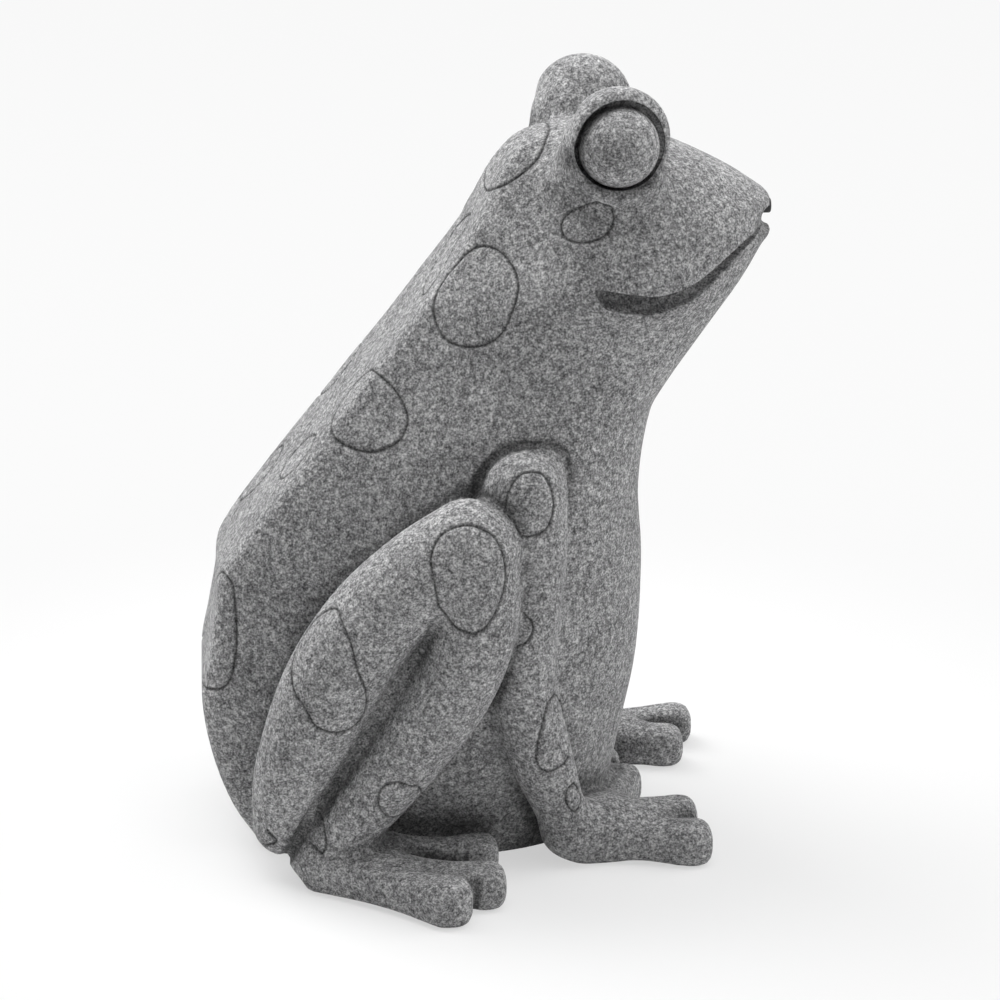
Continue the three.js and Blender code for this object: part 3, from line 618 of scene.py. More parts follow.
@dataclass
class Eye:
    """Eyeball in a hooded socket on one side of the head; sideways places count from the middle plane."""

    side: float
    centre: Point
    hood: Point
    radius: float = 16.5
    groove: float = 2.4
    socket_lift: float = 1.1
    socket_floor: float = 43.0
    hood_radius: float = 21.2
    hood_tail: Rows = ((-18.0, -16.0, -22.0, 10.0), (-4.0, -6.0, -5.0, 19.0))
    hood_fillet: float = 7.0
    face: float = 7.0
    face_turn: float = 0.22
    rim_round: float = 5.0
    lid_ring: float = 20.6
    lid_depth: float = 48.4
    lid_radius: float = 2.4
    lid_sweep: Pair = (225.0, 318.0)
    lid_fillet: float = 2.5
    margin: float = 12.0
    pad: Rows = ((-15.0, -9.0, -14.5, 7.0), (-2.0, -5.0, -21.0, 8.5), (12.0, -7.0, -17.5, 7.0))
    pad_fillet: float = 9.0
    # painted shade in the socket: its greatest share, and the field values over which it fades
    socket_shade_share: float = 0.7
    socket_shade_span: Pair = (-0.6, 3.2)
    # painted shadows at the eye's corners, where the hood's shadow falls: x and z from the centre, reach and
    # greatest share
    corners: Rows = ((-20.5, -5.0, 4.4, 0.8), (18.3, -10.5, 3.2, 0.5))

    def lid(self) -> Array:
        """Centre line of the lower lid: an arc about the eye's centre, thinner at its ends, shape (k, 4)."""
        turn = np.radians(np.linspace(*self.lid_sweep, 25))
        swell = np.sin(np.linspace(0.0, np.pi, 25)) ** 0.5
        x = self.centre[0] + self.lid_ring * np.cos(turn)
        z = self.centre[2] + self.lid_ring * np.sin(turn)
        y = np.full(25, self.side * self.lid_depth)
        return np.stack([x, y, z, self.lid_radius * (0.35 + 0.65 * swell)], 1)

    def add(self, body: Array, lattice: Lattice) -> None:
        """Add the hood, its pad and the lower lid to the field, in place.

        Args:
            body: field on the lattice, changed.
            lattice: the lattice it stands on.
        """
        hx, hy, hz = self.hood
        rows = [(hx + a, self.side * (hy + b), hz + c, r) for a, b, c, r in self.hood_tail]
        rows.append((hx, self.side * hy, hz, self.hood_radius))
        dome = np.array(rows, float)
        at = lattice.window(dome, self.margin)
        part = lattice.part(at)
        x, y, z = part[0][:, None, None], self.side * part[1][None, :, None], part[2][None, None, :]
        face = (x - hx) * math.sin(self.face_turn) + (y - hy - self.face) * math.cos(self.face_turn)
        hood = blend_cut(rod_field(part, dome), -face + 0.0 * z, self.rim_round)
        head = blend_union(body[at], hood, self.hood_fillet)
        pad = np.array(self.pad, float) * (1.0, self.side, 1.0, 1.0)
        pad[:, :3] += np.array(self.centre) * (1.0, self.side, 1.0)
        head = blend_union(head, rod_field(part, pad), self.pad_fillet)
        body[at] = blend_union(head, rod_field(part, self.lid()), self.lid_fillet)

    def socket(self) -> Array:
        """Bowl round the eyeball, cut flat behind: rings of (r cos v, y, r sin v), shape (n, m, 3).

        The ring radius is the square root of R squared less the squared distance from the centre.
        """
        reach = self.radius + self.groove
        cx, cy, cz = self.centre
        y = np.concatenate([[self.socket_floor] * 2, np.linspace(self.socket_floor, cy + reach - 0.02, 40)])
        r = np.sqrt(reach**2 - (y - cy) ** 2)
        r[:2] = (0.05, 0.6 * r[2])
        v = circle(96)
        x, z = cx + r[:, None] * np.cos(v), cz + self.socket_lift + r[:, None] * np.sin(v)
        return np.stack([x, self.side * y[:, None] + 0.0 * v, z], -1)

    def painted_shade(self, points: Array, value: Array) -> Array:
        """Share of painted shade: deep in the socket, fading over the eyeball's edge, with soft painted
        shadows at the eye's corners.

        Args:
            points: positions on the skin, shape (n, 3).
            value: the frog's field there.

        Returns:
            Shares from 0 to 1, shape (n,).
        """
        off = points * (1.0, self.side, 1.0) - self.centre
        away = np.linalg.norm(off, axis=1)
        # painted shade in the socket, fading out towards the open skin
        fade = np.clip((value - self.socket_shade_span[0]) / np.ptp(self.socket_shade_span), 0.0, 1.0)
        share = self.socket_shade_share * (1.0 - fade)
        share *= np.clip(self.radius + self.groove + self.socket_lift - away, 0.0, 1.0)
        # soft painted shadows at the eye's corners
        for x, z, reach, most in self.corners:
            spot = most * np.exp(-((off[:, 0] - x) ** 2 + (off[:, 2] - z) ** 2) / reach**2)
            share = np.maximum(share, spot * (off[:, 1] > -self.radius))
        return share

    def ball(self) -> Array:
        """Eyeball: radius times (sin u cos v, sin u sin v, cos u) about the centre, shape (n, m, 3)."""
        u = np.linspace(0.02, np.pi - 0.02, 40)[:, None]
        v = circle(72)
        out = np.stack([np.sin(u) * np.cos(v), np.sin(u) * np.sin(v), np.cos(u) + 0.0 * v], -1)
        return np.array(self.centre) * (1.0, self.side, 1.0) + self.radius * out


@dataclass
class Mouth:
    """Smiling mouth: a wedge with a crisp upper lip, deep at the corners and a thin line at the front."""

    line: Rows = (
        (41.6, 54, 249.6, 0.5, 0.6), (42.2, 54, 249.6, 1.7, 2.8), (43.4, 54, 249.6, 2.8, 5.0),
        (45.4, 54, 249.5, 3.7, 6.9), (48.6, 53.8, 249, 4.4, 8.2), (57, 52.8, 247.3, 5.0, 8.6),
        (66, 50.8, 245.8, 5.0, 8.0), (75.4, 47.7, 246.7, 4.8, 7.0), (84, 44.2, 249.3, 4.6, 6.0),
        (92, 40.3, 253.6, 4.4, 4.6), (100, 35.6, 259.0, 4.5, 3.6), (107.5, 29.8, 263.6, 4.0, 3.0),
        (113.5, 22, 266.0, 3.5, 2.6), (117.8, 11, 266.4, 3.2, 2.4), (119, 0, 266.5, 3.0, 2.4),
    )
    profile: Rows = (
        (3, 0, 0.25, 0), (0, 0, 0, 0), (0, -0.75, 0, -0.05), (0, -1, 0, -0.24), (0, -0.96, 0, -0.58),
        (0, -0.6, 0, -0.88), (0, 0, 0, -1), (3, 0, -0.8, -1),
    )
    bead: float = 2.3
    bead_drop: float = 1.9
    bead_sink: float = 1.1
    bead_taper: Pair = (80.0, 106.0)
    bead_fillet: float = 3.0

    def path(self, first: int, count: int) -> Array:
        """Line from corner to corner, the left half mirrored.

        Args:
            first: first station to use.
            count: number of samples.

        Returns:
            Rows of x, y, z, depth and height, shape (count, 5).
        """
        half = np.array(self.line, float)[first:]
        whole = np.concatenate([half * (1, -1, 1, 1, 1), half[-2::-1]])
        knots = np.arange(len(whole), dtype=float)
        return through(knots, whole, np.linspace(0.0, knots[-1], count))

    def lower_lip(self, field_of: Field) -> Array:
        """Centre line of the raised lower lip from corner to corner, a little under the skin.

        Args:
            field_of: the frog's field, which holds the skin.

        Returns:
            Rows of x, y, z and radius, shape (k, 4).
        """
        rows = self.path(1, 120)
        place = rows[:, :3] - np.array([0.0, 0.0, 1.0]) * (rows[:, 4:5] + self.bead_drop)
        place = field_of.settle(place)
        out = unit(field_of.read(place)[1])
        radius = np.interp(place[:, 0], self.bead_taper, (self.bead, 0.5 * self.bead))
        return np.column_stack([place - self.bead_sink * out, radius])

    def wedge(self, field_of: Field) -> Array:
        """Wedge profile carried along the lips: flat ceiling, then a slope out to the lower lip.

        Each station gives x, |y|, z, depth and height; the path is settled on the skin. A row a, b, c, d
        of the profile lies a + b depth out along the skin's normal and c + d height up along the skin.

        Args:
            field_of: the frog's field, which holds the skin.

        Returns:
            Rings, shape (n, m, 3).
        """
        rows = self.path(0, 160)
        place = field_of.settle(rows[:, :3])
        out = unit(field_of.read(place)[1])
        up = np.cross(out, np.gradient(place, axis=0))
        up = unit(up * np.sign(up[:, 2:3]))
        depth, height = rows[:, 3:4], rows[:, 4:5]
        rings = [place + (a + b * depth) * out + (c + d * height) * up for a, b, c, d in self.profile]
        return np.stack(rings, 1)


@dataclass
class Spot:
    """Engraved outline of a marking: a smooth closed or open line through points on the skin.

    The points are for the right side; a marking on both sides is mirrored and moved by the drift on the left.
    """

    name: str
    points: Rows
    closed: bool = True
    sides: tuple[float, ...] = (RIGHT, LEFT)
    drift: Point = (-2.5, 0.0, -3.5)

    def line(self, form: Field, side: float, spacing: float = 0.3) -> Array:
        """Samples along the outline, settled on the skin.

        Args:
            form: the frog's field, which holds the skin.
            side: right, or the mirrored left.
            spacing: distance between samples.

        Returns:
            Samples, shape (k, 3).
        """
        table = np.array(self.points, float)
        if side == LEFT:
            table = (table + self.drift) * (1.0, -1.0, 1.0)
        if self.closed:
            table = np.concatenate([table[-1:], table, table[:2]])
        knots = np.arange(len(table), dtype=float)
        span = (1.0, knots[-1] - 1.0) if self.closed else (0.0, knots[-1])
        length = np.linalg.norm(np.diff(table, axis=0), axis=1).sum()
        return form.settle(through(knots, table, np.linspace(*span, int(length / spacing))), 6)


@dataclass
class Engraving:
    """Markings cut into the skin with dark wash and painted shade in them, and painted shade in the mouth, in
    the creases and round the eyes.
    """

    spots: tuple[Spot, ...] = (
        Spot("nape", (
            (28, 2.5, 306), (27, -10, 304.5), (22, -20, 297.5), (13.5, -22, 290), (5, -20.5, 285),
            (1.5, -10, 281.5), (1.5, 4, 281), (6, 19, 286), (14, 21, 291), (22, 19, 298), (27, 11, 304.5),
        ), sides=(RIGHT,)),
        Spot("neck", (
            (-5, -2.5, 268.5), (-11, -6, 258), (-18, -15, 249), (-23.5, -17.5, 241.5),
            (-25.5, -12.5, 238.5), (-23, -2.5, 242), (-17, 5.5, 250), (-10, 12.5, 259.5), (-6, 7, 266),
        ), sides=(RIGHT,)),
        Spot("flank", (
            (-1.5, -29, 262.5), (4, -33, 262), (8.5, -38, 258), (11, -43, 253), (11, -46.5, 247),
            (8.5, -48, 239.5), (5, -47.5, 231.5), (0, -46, 226.5), (-6.5, -43.5, 224), (-13, -40.5, 224),
            (-18.5, -37, 226.5), (-21.5, -33.5, 232), (-22, -29.5, 239), (-18, -26, 247), (-12, -26, 255),
            (-6.5, -27, 260.5),
        )),
        Spot("cheek", (
            (29.5, -41, 273.5), (31, -44.5, 269), (35.5, -47, 268), (42, -47.5, 268.5), (47, -46.5, 271),
            (50, -45.5, 276.5), (48.5, -48, 282.5), (44, -47, 284.5), (37.5, -41.5, 281.5),
            (32.5, -39.5, 278),
        )),
        Spot("shoulder", (
            (15, -73, 179.5), (19.5, -73, 178), (22.5, -74, 171.5), (23.5, -74, 164), (21, -76, 156.5),
            (15.5, -77.5, 153.5), (9, -77, 154), (4, -75, 160), (4, -75, 167.5), (6, -75, 174.5),
            (10, -73.5, 178.5),
        )),
        Spot("knee", (
            (-12, -89, 163), (-19, -88, 161.5), (-24.5, -88, 157.5), (-28, -91.5, 150), (-26.5, -94, 139.5),
            (-24.5, -92, 129), (-19.5, -92.5, 122), (-12.5, -96, 119), (-6, -96, 121.5), (-1, -94, 129),
            (2.5, -91, 140), (1, -91.5, 152), (-2.5, -90.5, 158.5), (-7, -90, 161.5),
        )),
        Spot("elbow", (
            (9.5, -76.5, 121), (13, -77, 117.5), (15, -76.5, 113.5), (14, -76.5, 109), (11.5, -76.5, 106),
            (8.5, -76.5, 105),
        ), closed=False),
        Spot("forearm", (
            (26, -64, 78), (22.5, -71, 77.5), (20, -74, 71.5), (17.5, -75.5, 62.5), (16.5, -75.5, 54),
            (18.5, -75, 49), (22.5, -74.5, 47.5), (27, -73, 49), (30, -70, 50.5), (31.5, -61, 59),
            (29, -58, 70),
        )),
        Spot("wrist", (
            (34, -68, 38.5), (37, -65, 32.5), (36.5, -66, 29), (33.5, -69.5, 26.5), (30.5, -71, 30),
            (29.5, -71.5, 34.5), (31, -71, 38),
        )),
        Spot("thigh", (
            (-66.5, -81.5, 126), (-63.5, -88.5, 121), (-60.5, -92, 114), (-58, -93, 103),
            (-54.5, -90.5, 92.5), (-55, -86, 82), (-60.5, -86.5, 75.5), (-68.5, -89.5, 75),
            (-75.5, -90, 78.5), (-80, -88.5, 86), (-84.5, -82, 93.5), (-82, -73, 105), (-74, -73, 118),
        )),
        Spot("shin", (
            (-34, -88, 49.5), (-37, -91.5, 50.5), (-42.5, -92.5, 53), (-48.5, -91.5, 50.5),
            (-50.5, -91, 45), (-48.5, -90, 38.5), (-42.5, -85, 34.5), (-34, -79, 41),
        )),
        Spot("heel", (
            (-74.5, -77.5, 34), (-73, -81.5, 29.5), (-72, -84.5, 23.5), (-73.5, -85, 19), (-76, -83, 20.5),
            (-78.5, -80.5, 22),
        ), closed=False),
        Spot("foot", ((-96, -76, 26), (-92.5, -77, 21.5), (-95, -75, 19), (-98.5, -70.5, 17)), closed=False),
        Spot("rump", (
            (-108, -36.5, 122), (-107, -38, 114), (-106.5, -39, 104), (-107, -40.5, 93), (-109, -41, 82.5),
            (-112, -40.5, 77), (-116.5, -38.5, 75), (-121.5, -30, 75), (-121, -16, 84), (-117.5, -13, 99),
            (-114, -18, 114), (-110.5, -28, 123),
        )),
        Spot("ridge", (
            (-45.5, -30.5, 209.5), (-40, -35, 205.5), (-36, -39.5, 200), (-34, -43, 193.5),
            (-36.5, -44.5, 186.5), (-42, -44, 182), (-49.5, -42, 179.5), (-57.5, -38, 180.5),
            (-64, -32, 184), (-62, -20, 191), (-54, -17, 201), (-48, -22, 208.5),
        )),
        Spot("back", (
            (-79, -26.5, 169.5), (-84, -22, 163.5), (-86.5, -14, 160), (-84, -7, 163.5), (-78.5, -6, 170.5),
            (-73, -11, 177.5), (-71.5, -19, 179.5), (-74, -25, 176),
        ), sides=(RIGHT,)),
        Spot("loin", (
            (-103.5, 22.5, 138), (-98, 14, 145), (-92, 11, 153), (-86, 14, 160.5), (-84.5, 22, 162.5),
            (-89, 28, 156.5), (-97, 30, 146.5), (-102.5, 28, 139),
        ), sides=(RIGHT,)),
    )
    depth: float = 0.75
    half_width: float = 0.62
    reach: float = 1.7
    fine: Rows = ((9.0, 4.0), (9.0, 4.0), (9.0, 4.0), (4.0, 2.4), (2.2, 1.8), (1.5, 1.5), (1.0, 1.2))
    # painted shade in the creases: how far to step out, the openings between full and no shade, its greatest
    # share and the band round the skin
    crease_reach: float = 5.0
    crease_open: Pair = (0.42, 0.86)
    crease_shade_share: float = 0.8
    crease_band: float = 0.4
    skin_band: float = 0.3
    # painted shade inside the mouth: depth to full shade, its greatest share, the box it keeps to and its
    # fade towards the front
    mouth_depth: float = 1.0
    mouth_shade_share: float = 0.6
    mouth_low: Point = (38.0, -60.0, 232.0)
    mouth_top: float = 275.0
    mouth_fade: Pair = (62.0, 100.0)
    mouth_front: float = 0.55
    lip_fine: Pair = (1.6, 3.0)

    def wash_and_shade(self, points: Array, form: Field, away: Array, eyes: Sequence[Eye]) -> Array:
        """Share of darkening at points: dark wash and painted shade in the lines, and painted shade inside
        the mouth, in the creases and round the eyes.

        Painted shade in a crease is found by stepping out along the normal: on open skin the field grows by
        the step, and in a crease by less.

        Args:
            points: positions on the skin, shape (n, 3).
            form: the frog's field.
            away: distances to the engraved lines.
            eyes: the two eyes.

        Returns:
            Shares from 0 to 1, shape (n,).
        """
        value, slope = form.read(points)
        normal = unit(slope)
        opening = form.read(points + self.crease_reach * normal)[0] / self.crease_reach
        closed, open_air = self.crease_open
        # painted shade in the creases, where the skin is hemmed in
        crease = self.crease_shade_share * np.clip((open_air - opening) / (open_air - closed), 0.0, 1.0)
        crease *= np.abs(value) < self.crease_band
        # painted shade inside the mouth, darker with depth and lighter towards the front
        inner = self.mouth_shade_share * np.clip(-value / self.mouth_depth, 0.0, 1.0)
        inner *= (points > self.mouth_low).all(1) * (points[:, 2] < self.mouth_top)
        inner *= np.interp(points[:, 0], self.mouth_fade, (1.0, self.mouth_front))
        # painted shade round the eyes
        eye_shade = [eye.painted_shade(points, value) for eye in eyes]
        # dark wash and painted shade along the engraved lines
        return np.max([np.exp(-((away / self.half_width) ** 2)), crease, inner, *eye_shade], axis=0)

    def cut(self, skin: Piece, form: Field, lip: Array, eyes: Sequence[Eye]) -> None:
        """Refine the skin along the lines, press them in and store the dark wash and painted shade as an
        attribute.

        Args:
            skin: the body's mesh, whose data is replaced.
            form: the frog's field.
            lip: line of the lower lip, along which the skin is refined too.
            eyes: the two eyes.
        """
        mesh = skin.data
        mesh.calc_loop_triangles()
        points = np.empty(len(mesh.vertices) * 3, np.float32)
        mesh.vertices.foreach_get("co", points)
        faces = np.empty(len(mesh.loop_triangles) * 3, np.int32)
        mesh.loop_triangles.foreach_get("vertices", faces)
        points, faces = points.reshape(-1, 3).astype(float) / MM, faces.reshape(-1, 3).astype(np.int64)
        _, same, times = np.unique(np.sort(faces, axis=1), axis=0, return_inverse=True, return_counts=True)
        faces = faces[times[same.ravel()] == 1]
        lines = [spot.line(form, side) for spot in self.spots for side in spot.sides]

        def away_from(places: Array, reach: float) -> Array:
            """Distance from places to the nearest engraved line, up to the reach."""
            return np.min([distance_to(places, line, reach) for line in lines], axis=0)

        def off_lip(places: Array, reach: float) -> Array:
            """Distance from places to the lower lip, up to the reach."""
            return distance_to(places, lip, reach)

        for way, (longest, reach) in [(off_lip, self.lip_fine), *((away_from, row) for row in self.fine)]:
            old = len(points)
            points, faces = split_edges(points, faces, way, longest, reach)
            fresh = points[old:]
            on_skin = np.abs(form.read(fresh)[0]) < self.skin_band
            points[old:][on_skin] = form.settle(fresh[on_skin])
        away = away_from(points, self.reach)
        wash_and_shade = self.wash_and_shade(points, form, away, eyes)
        normal = unit(form.read(points)[1])
        sunk = self.depth * np.exp(-((away / self.half_width) ** 2)) * (away < self.reach)
        points -= sunk[:, None] * normal
        fresh = put_mesh("engraved", points, [faces])
        skin.data = fresh.data
        skin.data.name = skin.name
        bpy.data.objects.remove(fresh)
        bpy.data.meshes.remove(mesh)
        # the darkening is stored on the skin: dark wash and painted shade
        layer = skin.data.attributes.new("engraved", "FLOAT", "POINT")
        layer.data.foreach_set("value", wash_and_shade.astype(np.float32))


@dataclass
class BaseHollow:
    """Recess, ledge, ballast space, hose notch and spout bore inside the skin."""

    rim: float = 6.0
    ledge_width: float = 10.0
    ledge_bottom: float = 26.2
    ledge_top: float = 38.2
    wall: float = 6.0
    head_wall: float = 14.0
    neck: Pair = (205.0, 232.0)
    top: float = 286.0
    notch_radius: float = 10.0
    notch_z: float = 9.5
    notch_x: Pair = (-138.0, -78.0)
    spout_z: float = 270.2
    spout_x: Pair = (104.0, 116.9)
    bore_radius: float = 6.2
    jet_x: Pair = (116.0, 140.0)
    jet_radius: float = 3.7
    lip_x: float = 117.6
    lip_z: float = 266.5
    lip_radius: float = 5.0
    lip_flare: Pair = (0.01, 0.022)
    pocket_x: Pair = (70.0, 112.0)
    pocket_radius: float = 8.3
    around: int = 96

    def rod_x(self, span: Pair, radius: float) -> Array:
        """Round rod along x at the spout's height: two rings of (x, r cos v, z + r sin v)."""
        v = circle(48)[0]
        y, z = radius * np.cos(v), self.spout_z + radius * np.sin(v)
        return np.stack([np.stack([np.full(len(y), x), y, z], 1) for x in span])

    def lips(self) -> Array:
        """Opening between the lips: a round rod along y, wider and further back with y squared."""
        v = circle(48)
        y = np.linspace(-26.0, 26.0, 27)[:, None]
        back, widen = self.lip_flare
        radius = self.lip_radius + widen * y**2
        x = self.lip_x - back * y**2 + radius * (1.0 + np.cos(v))
        return np.stack([x, y + 0.0 * v, self.lip_z + radius * np.sin(v)], -1)

    def arch(self) -> Array:
        """Hose notch: a round arch on straight sides, carried along x through the rear rim."""
        v = np.linspace(0.0, np.pi, 25)
        y = np.concatenate([[self.notch_radius], self.notch_radius * np.cos(v), [-self.notch_radius]])
        z = np.concatenate([[-1.0], self.notch_z + self.notch_radius * np.sin(v), [-1.0]])
        return np.stack([np.stack([np.full(len(y), x), y, z], 1) for x in self.notch_x])

    def ballast(self, torso: Torso) -> Array:
        """Ballast space: the torso's outline drawn in by the wall at rising heights."""
        turn = 2.0 * np.pi * (np.arange(self.around) + 0.5) / self.around
        x, y = np.cos(turn), np.abs(np.sin(turn))
        rings = []
        for z in np.linspace(self.ledge_top, self.top, 44):
            wall = float(np.interp(z, self.neck, (self.wall, self.head_wall)))
            level = torso.at(np.array([z - wall, z, z + wall]))
            r = np.min([torso.reach(row, x, y) for row in level], axis=0) - wall
            middle = level[1, 4]
            rings.append(np.stack([middle + r * np.cos(turn), r * np.sin(turn), np.full(self.around, z)], 1))
        return np.stack(rings)

    def cutters(self, torso: Torso) -> list[Array]:
        """All the solids that are taken out of the skin, as rings.

        Args:
            torso: the form that the outlines follow.

        Returns:
            One grid of rings for each cutter.
        """
        recess = [torso.ring(0.0, self.rim, self.around) + (0, 0, z) for z in (-1.0, self.ledge_bottom)]
        inner = self.rim + self.ledge_width
        heights = (self.ledge_bottom - 1, self.ledge_top + 1)
        well = [torso.ring(0.0, inner, self.around) + (0, 0, z) for z in heights]
        return [
            np.stack(recess),
            np.stack(well),
            self.ballast(torso),
            self.arch(),
            self.lips(),
            self.rod_x(self.pocket_x, self.pocket_radius),
            self.rod_x(self.spout_x, self.bore_radius),
            self.rod_x(self.jet_x, self.jet_radius),
        ]


@dataclass
class FrogSkin:
    """The moulded body: one closed skin over torso, limbs, feet, hoods, eyes and mouth."""

    lattice: Lattice = field(default_factory=Lattice)
    torso: Torso = field(default_factory=Torso)
    limbs: tuple[Limb, ...] = (
        Limb("haunch", ((-62, -58, 66, 17), (-29, -63, 97, 17), (-1, -60, 142, 14)), 8.0),
        Limb("fold", (
            (-22, -68.5, 124, 13), (-32.3, -67, 103.3, 14), (-40.6, -66, 86.8, 14),
            (-53, -65.4, 70.4, 13.5), (-65.7, -65, 55.7, 12.5), (-77, -61.5, 38, 11),
        ), 4.0),
        Limb("arm", (
            (12.6, -60, 167.3, 17.8), (13.8, -61, 145.8, 16.6), (12.6, -61, 123.8, 16),
            (11, -61, 101.7, 15.4), (11.5, -61, 79.2, 14.4), (16, -61.5, 61.7, 14.2),
            (21.6, -61.5, 43.6, 13), (26.6, -60.5, 29.2, 11.2), (31.4, -60, 16, 10.6),
        ), 3.0),
        Limb("thigh", (
            (-88, -64, 24, 14), (-84, -68, 48.6, 16.8), (-69.5, -71, 85, 20.4), (-52, -73, 114, 20.6),
            (-31, -74, 135.5, 19.8), (-11.6, -75, 149, 19.4),
        ), 4.0),
        Limb("shin", (
            (-9.3, -76, 146.7, 18.6), (-9.5, -78, 117, 18.2), (-18.5, -79, 89.5, 17.4),
            (-35.2, -78, 63.2, 16), (-52.5, -76, 39.1, 14), (-71, -72.5, 15.5, 12),
        ), 4.0),
    )
    feet: tuple[Foot, ...] = (
        Foot("hind", (
            ((-75, -70, 12, 12.4), (-62, -75, 10, 11)),
            ((-72, -76, 9, 10.4), (-52, -92, 8, 8), (-38, -103, 8, 8), (-23, -114, 8.5, 9.8)),
            ((-66, -74, 14, 9), (-42, -86, 9.5, 7.4), (-24, -94, 8.5, 7.6), (-7.5, -100, 8.5, 9.4)),
            ((-62, -70, 15, 9), (-40, -71.5, 11, 7.4), (-22, -72, 9.5, 7.4), (-7.5, -71.5, 9, 8.6)),
        ), web=3.0),
        Foot("right_front", (
            ((33, -59, 13, 11.5), (50, -50, 10, 11.5), (66, -46, 8, 9)),
            ((44, -57, 9, 9.5), (66, -62, 8.5, 8), (83.6, -65.5, 8.5, 9.5)),
            ((48, -48, 9, 9.5), (66, -45, 8.5, 8.5), (80.6, -41, 8.5, 9.5)),
            ((42, -42, 10, 9), (53, -22, 9, 8.2), (62, -3, 8.5, 8.6)),
        ), web=10.0, sides=(RIGHT,)),
        Foot("left_front", (
            ((33, -59, 13, 11.5), (52, -51, 10, 11.5), (68, -47, 8, 9)),
            ((46, -57, 9, 9.5), (72, -61.5, 8.5, 8), (93.4, -64.5, 8.2, 9)),
            ((50, -48, 9, 9.5), (68, -44, 8.5, 8.4), (86, -40, 8.2, 9.2)),
            ((42, -42, 10, 9), (50, -30, 9, 8), (55, -18, 8.5, 8.5)),
        ), web=8.0, sides=(LEFT,)),
    )
    creases: tuple[Crease, ...] = (
        Crease("shoulder", (
            (-9.5, -62, 165, 2.4), (-5.2, -60.6, 173.2, 2.3), (-1.4, -59.8, 178.2, 2), (4, -58.6, 183, 1.8),
            (10.4, -57.8, 185.6, 1.7), (16.8, -57.2, 186.4, 1.7), (23.2, -56.2, 185.3, 1.7),
            (27.9, -55.8, 182.4, 1.7), (30.4, -56.2, 177, 1.5), (31.2, -57, 171, 1.3),
            (31.2, -58.2, 164, 1), (31, -59.6, 153.5, 0.6),
        )),
        Crease("eye_corner", (
            (25, -32, 294, 1.2), (28.6, -37, 296.5, 2.6), (31, -42, 300.2, 3), (33, -44, 305, 2.2),
        )),
        Crease("heel", (
            (-70, -82, 44, 0.8), (-77, -80, 36, 1.6), (-82, -78, 26, 2), (-85, -74, 17, 2.2),
            (-88, -66, 10, 2.4),
        )),
    )
    eyes: tuple[Eye, ...] = (
        Eye(RIGHT, (52.0, 44.0, 306.5), (52.6, 41.0, 308.9)),
        Eye(LEFT, (46.4, 44.0, 304.2), (47.0, 41.0, 306.4)),
    )
    mouth: Mouth = field(default_factory=Mouth)
    hollow: BaseHollow = field(default_factory=BaseHollow)
    engraving: Engraving = field(default_factory=Engraving)
    below: float = -9.0
    keep_share: float = 0.32
    sharp_from: float = 40.0
    blank_half: float = 200.0
    blank_depth: float = 40.0

    def field_of(self, body: Array) -> Field:
        """Values on the lattice as a field that can be read anywhere."""
        return Field(body, np.array(self.lattice.low), self.lattice.step)

    def form(self) -> Field:
        """Distance field of the whole frog on the lattice."""
        axes = self.lattice.axes()
        body = self.torso.field(axes, self.lattice.step)
        for side in (RIGHT, LEFT):
            for limb in self.limbs:
                samples = centre_line(limb.stations, limb.per_stretch, side)
                at = self.lattice.window(samples, 2.0 * limb.fillet)
                rod = rod_field(self.lattice.part(at), samples)
                body[at] = blend_union(body[at], rod, limb.fillet)
            for foot in (f for f in self.feet if side in f.sides):
                lines = [centre_line(toe, 6, side) for toe in foot.toes]
                at = self.lattice.window(np.concatenate(lines), 2.0 * foot.fillet)
                part = self.lattice.part(at)
                whole = rod_field(part, lines[0])
                for line in lines[1:]:
                    whole = blend_union(whole, rod_field(part, line, foot.square), foot.web)
                body[at] = blend_union(body[at], whole, foot.fillet)
            for crease in self.creases:
                samples = centre_line(crease.stations, 6, side)
                samples[:, :3] = self.field_of(body).settle(samples[:, :3], 5)
                at = self.lattice.window(samples, 4.0 * crease.edge)
                rod = rod_field(self.lattice.part(at), samples)
                body[at] = blend_cut(body[at], rod, crease.edge)
        for eye in self.eyes:
            eye.add(body, self.lattice)
        lip = self.mouth.lower_lip(self.field_of(body))
        at = self.lattice.window(lip, 2.0 * self.mouth.bead_fillet)
        bead = rod_field(self.lattice.part(at), lip)
        body[at] = blend_union(body[at], bead, self.mouth.bead_fillet)
        body = np.maximum(body, self.below - axes[2][None, None, :])
        return self.field_of(body)

    def build(self) -> Piece:
        """Build the skin as one closed mesh.

        Returns:
            The skin's object.
        """
        form = self.form()
        points, faces = surface_of(form.values, form.low, form.step)
        skin = put_mesh("frog_skin", form.settle(points), [faces])
        LOG.info("skin before cuts: %d faces", len(faces))
        thin_out(skin, self.keep_share)
        for eye in self.eyes:
            join_cut(skin, put_rings("socket", eye.socket()), Cut.TAKE_AWAY)
            join_cut(skin, put_rings("eyeball", eye.ball()), Cut.ADD)
        join_cut(skin, put_rings("mouth_wedge", self.mouth.wedge(form)), Cut.TAKE_AWAY)
        edge = self.blank_half * np.array([(-1, -1), (1, -1), (1, 1), (-1, 1)], float)
        floor = np.stack([np.column_stack([edge, np.full(4, z)]) for z in (-self.blank_depth, 0.0)])
        for rings in (floor, *self.hollow.cutters(self.torso)):
            join_cut(skin, put_rings("cutter", rings), Cut.TAKE_AWAY)
        self.engraving.cut(skin, form, self.mouth.lower_lip(form)[:, :3], self.eyes)
        LOG.info("skin after cuts: %d faces", len(skin.data.polygons))
        return smooth(skin, self.sharp_from)


# Fittings


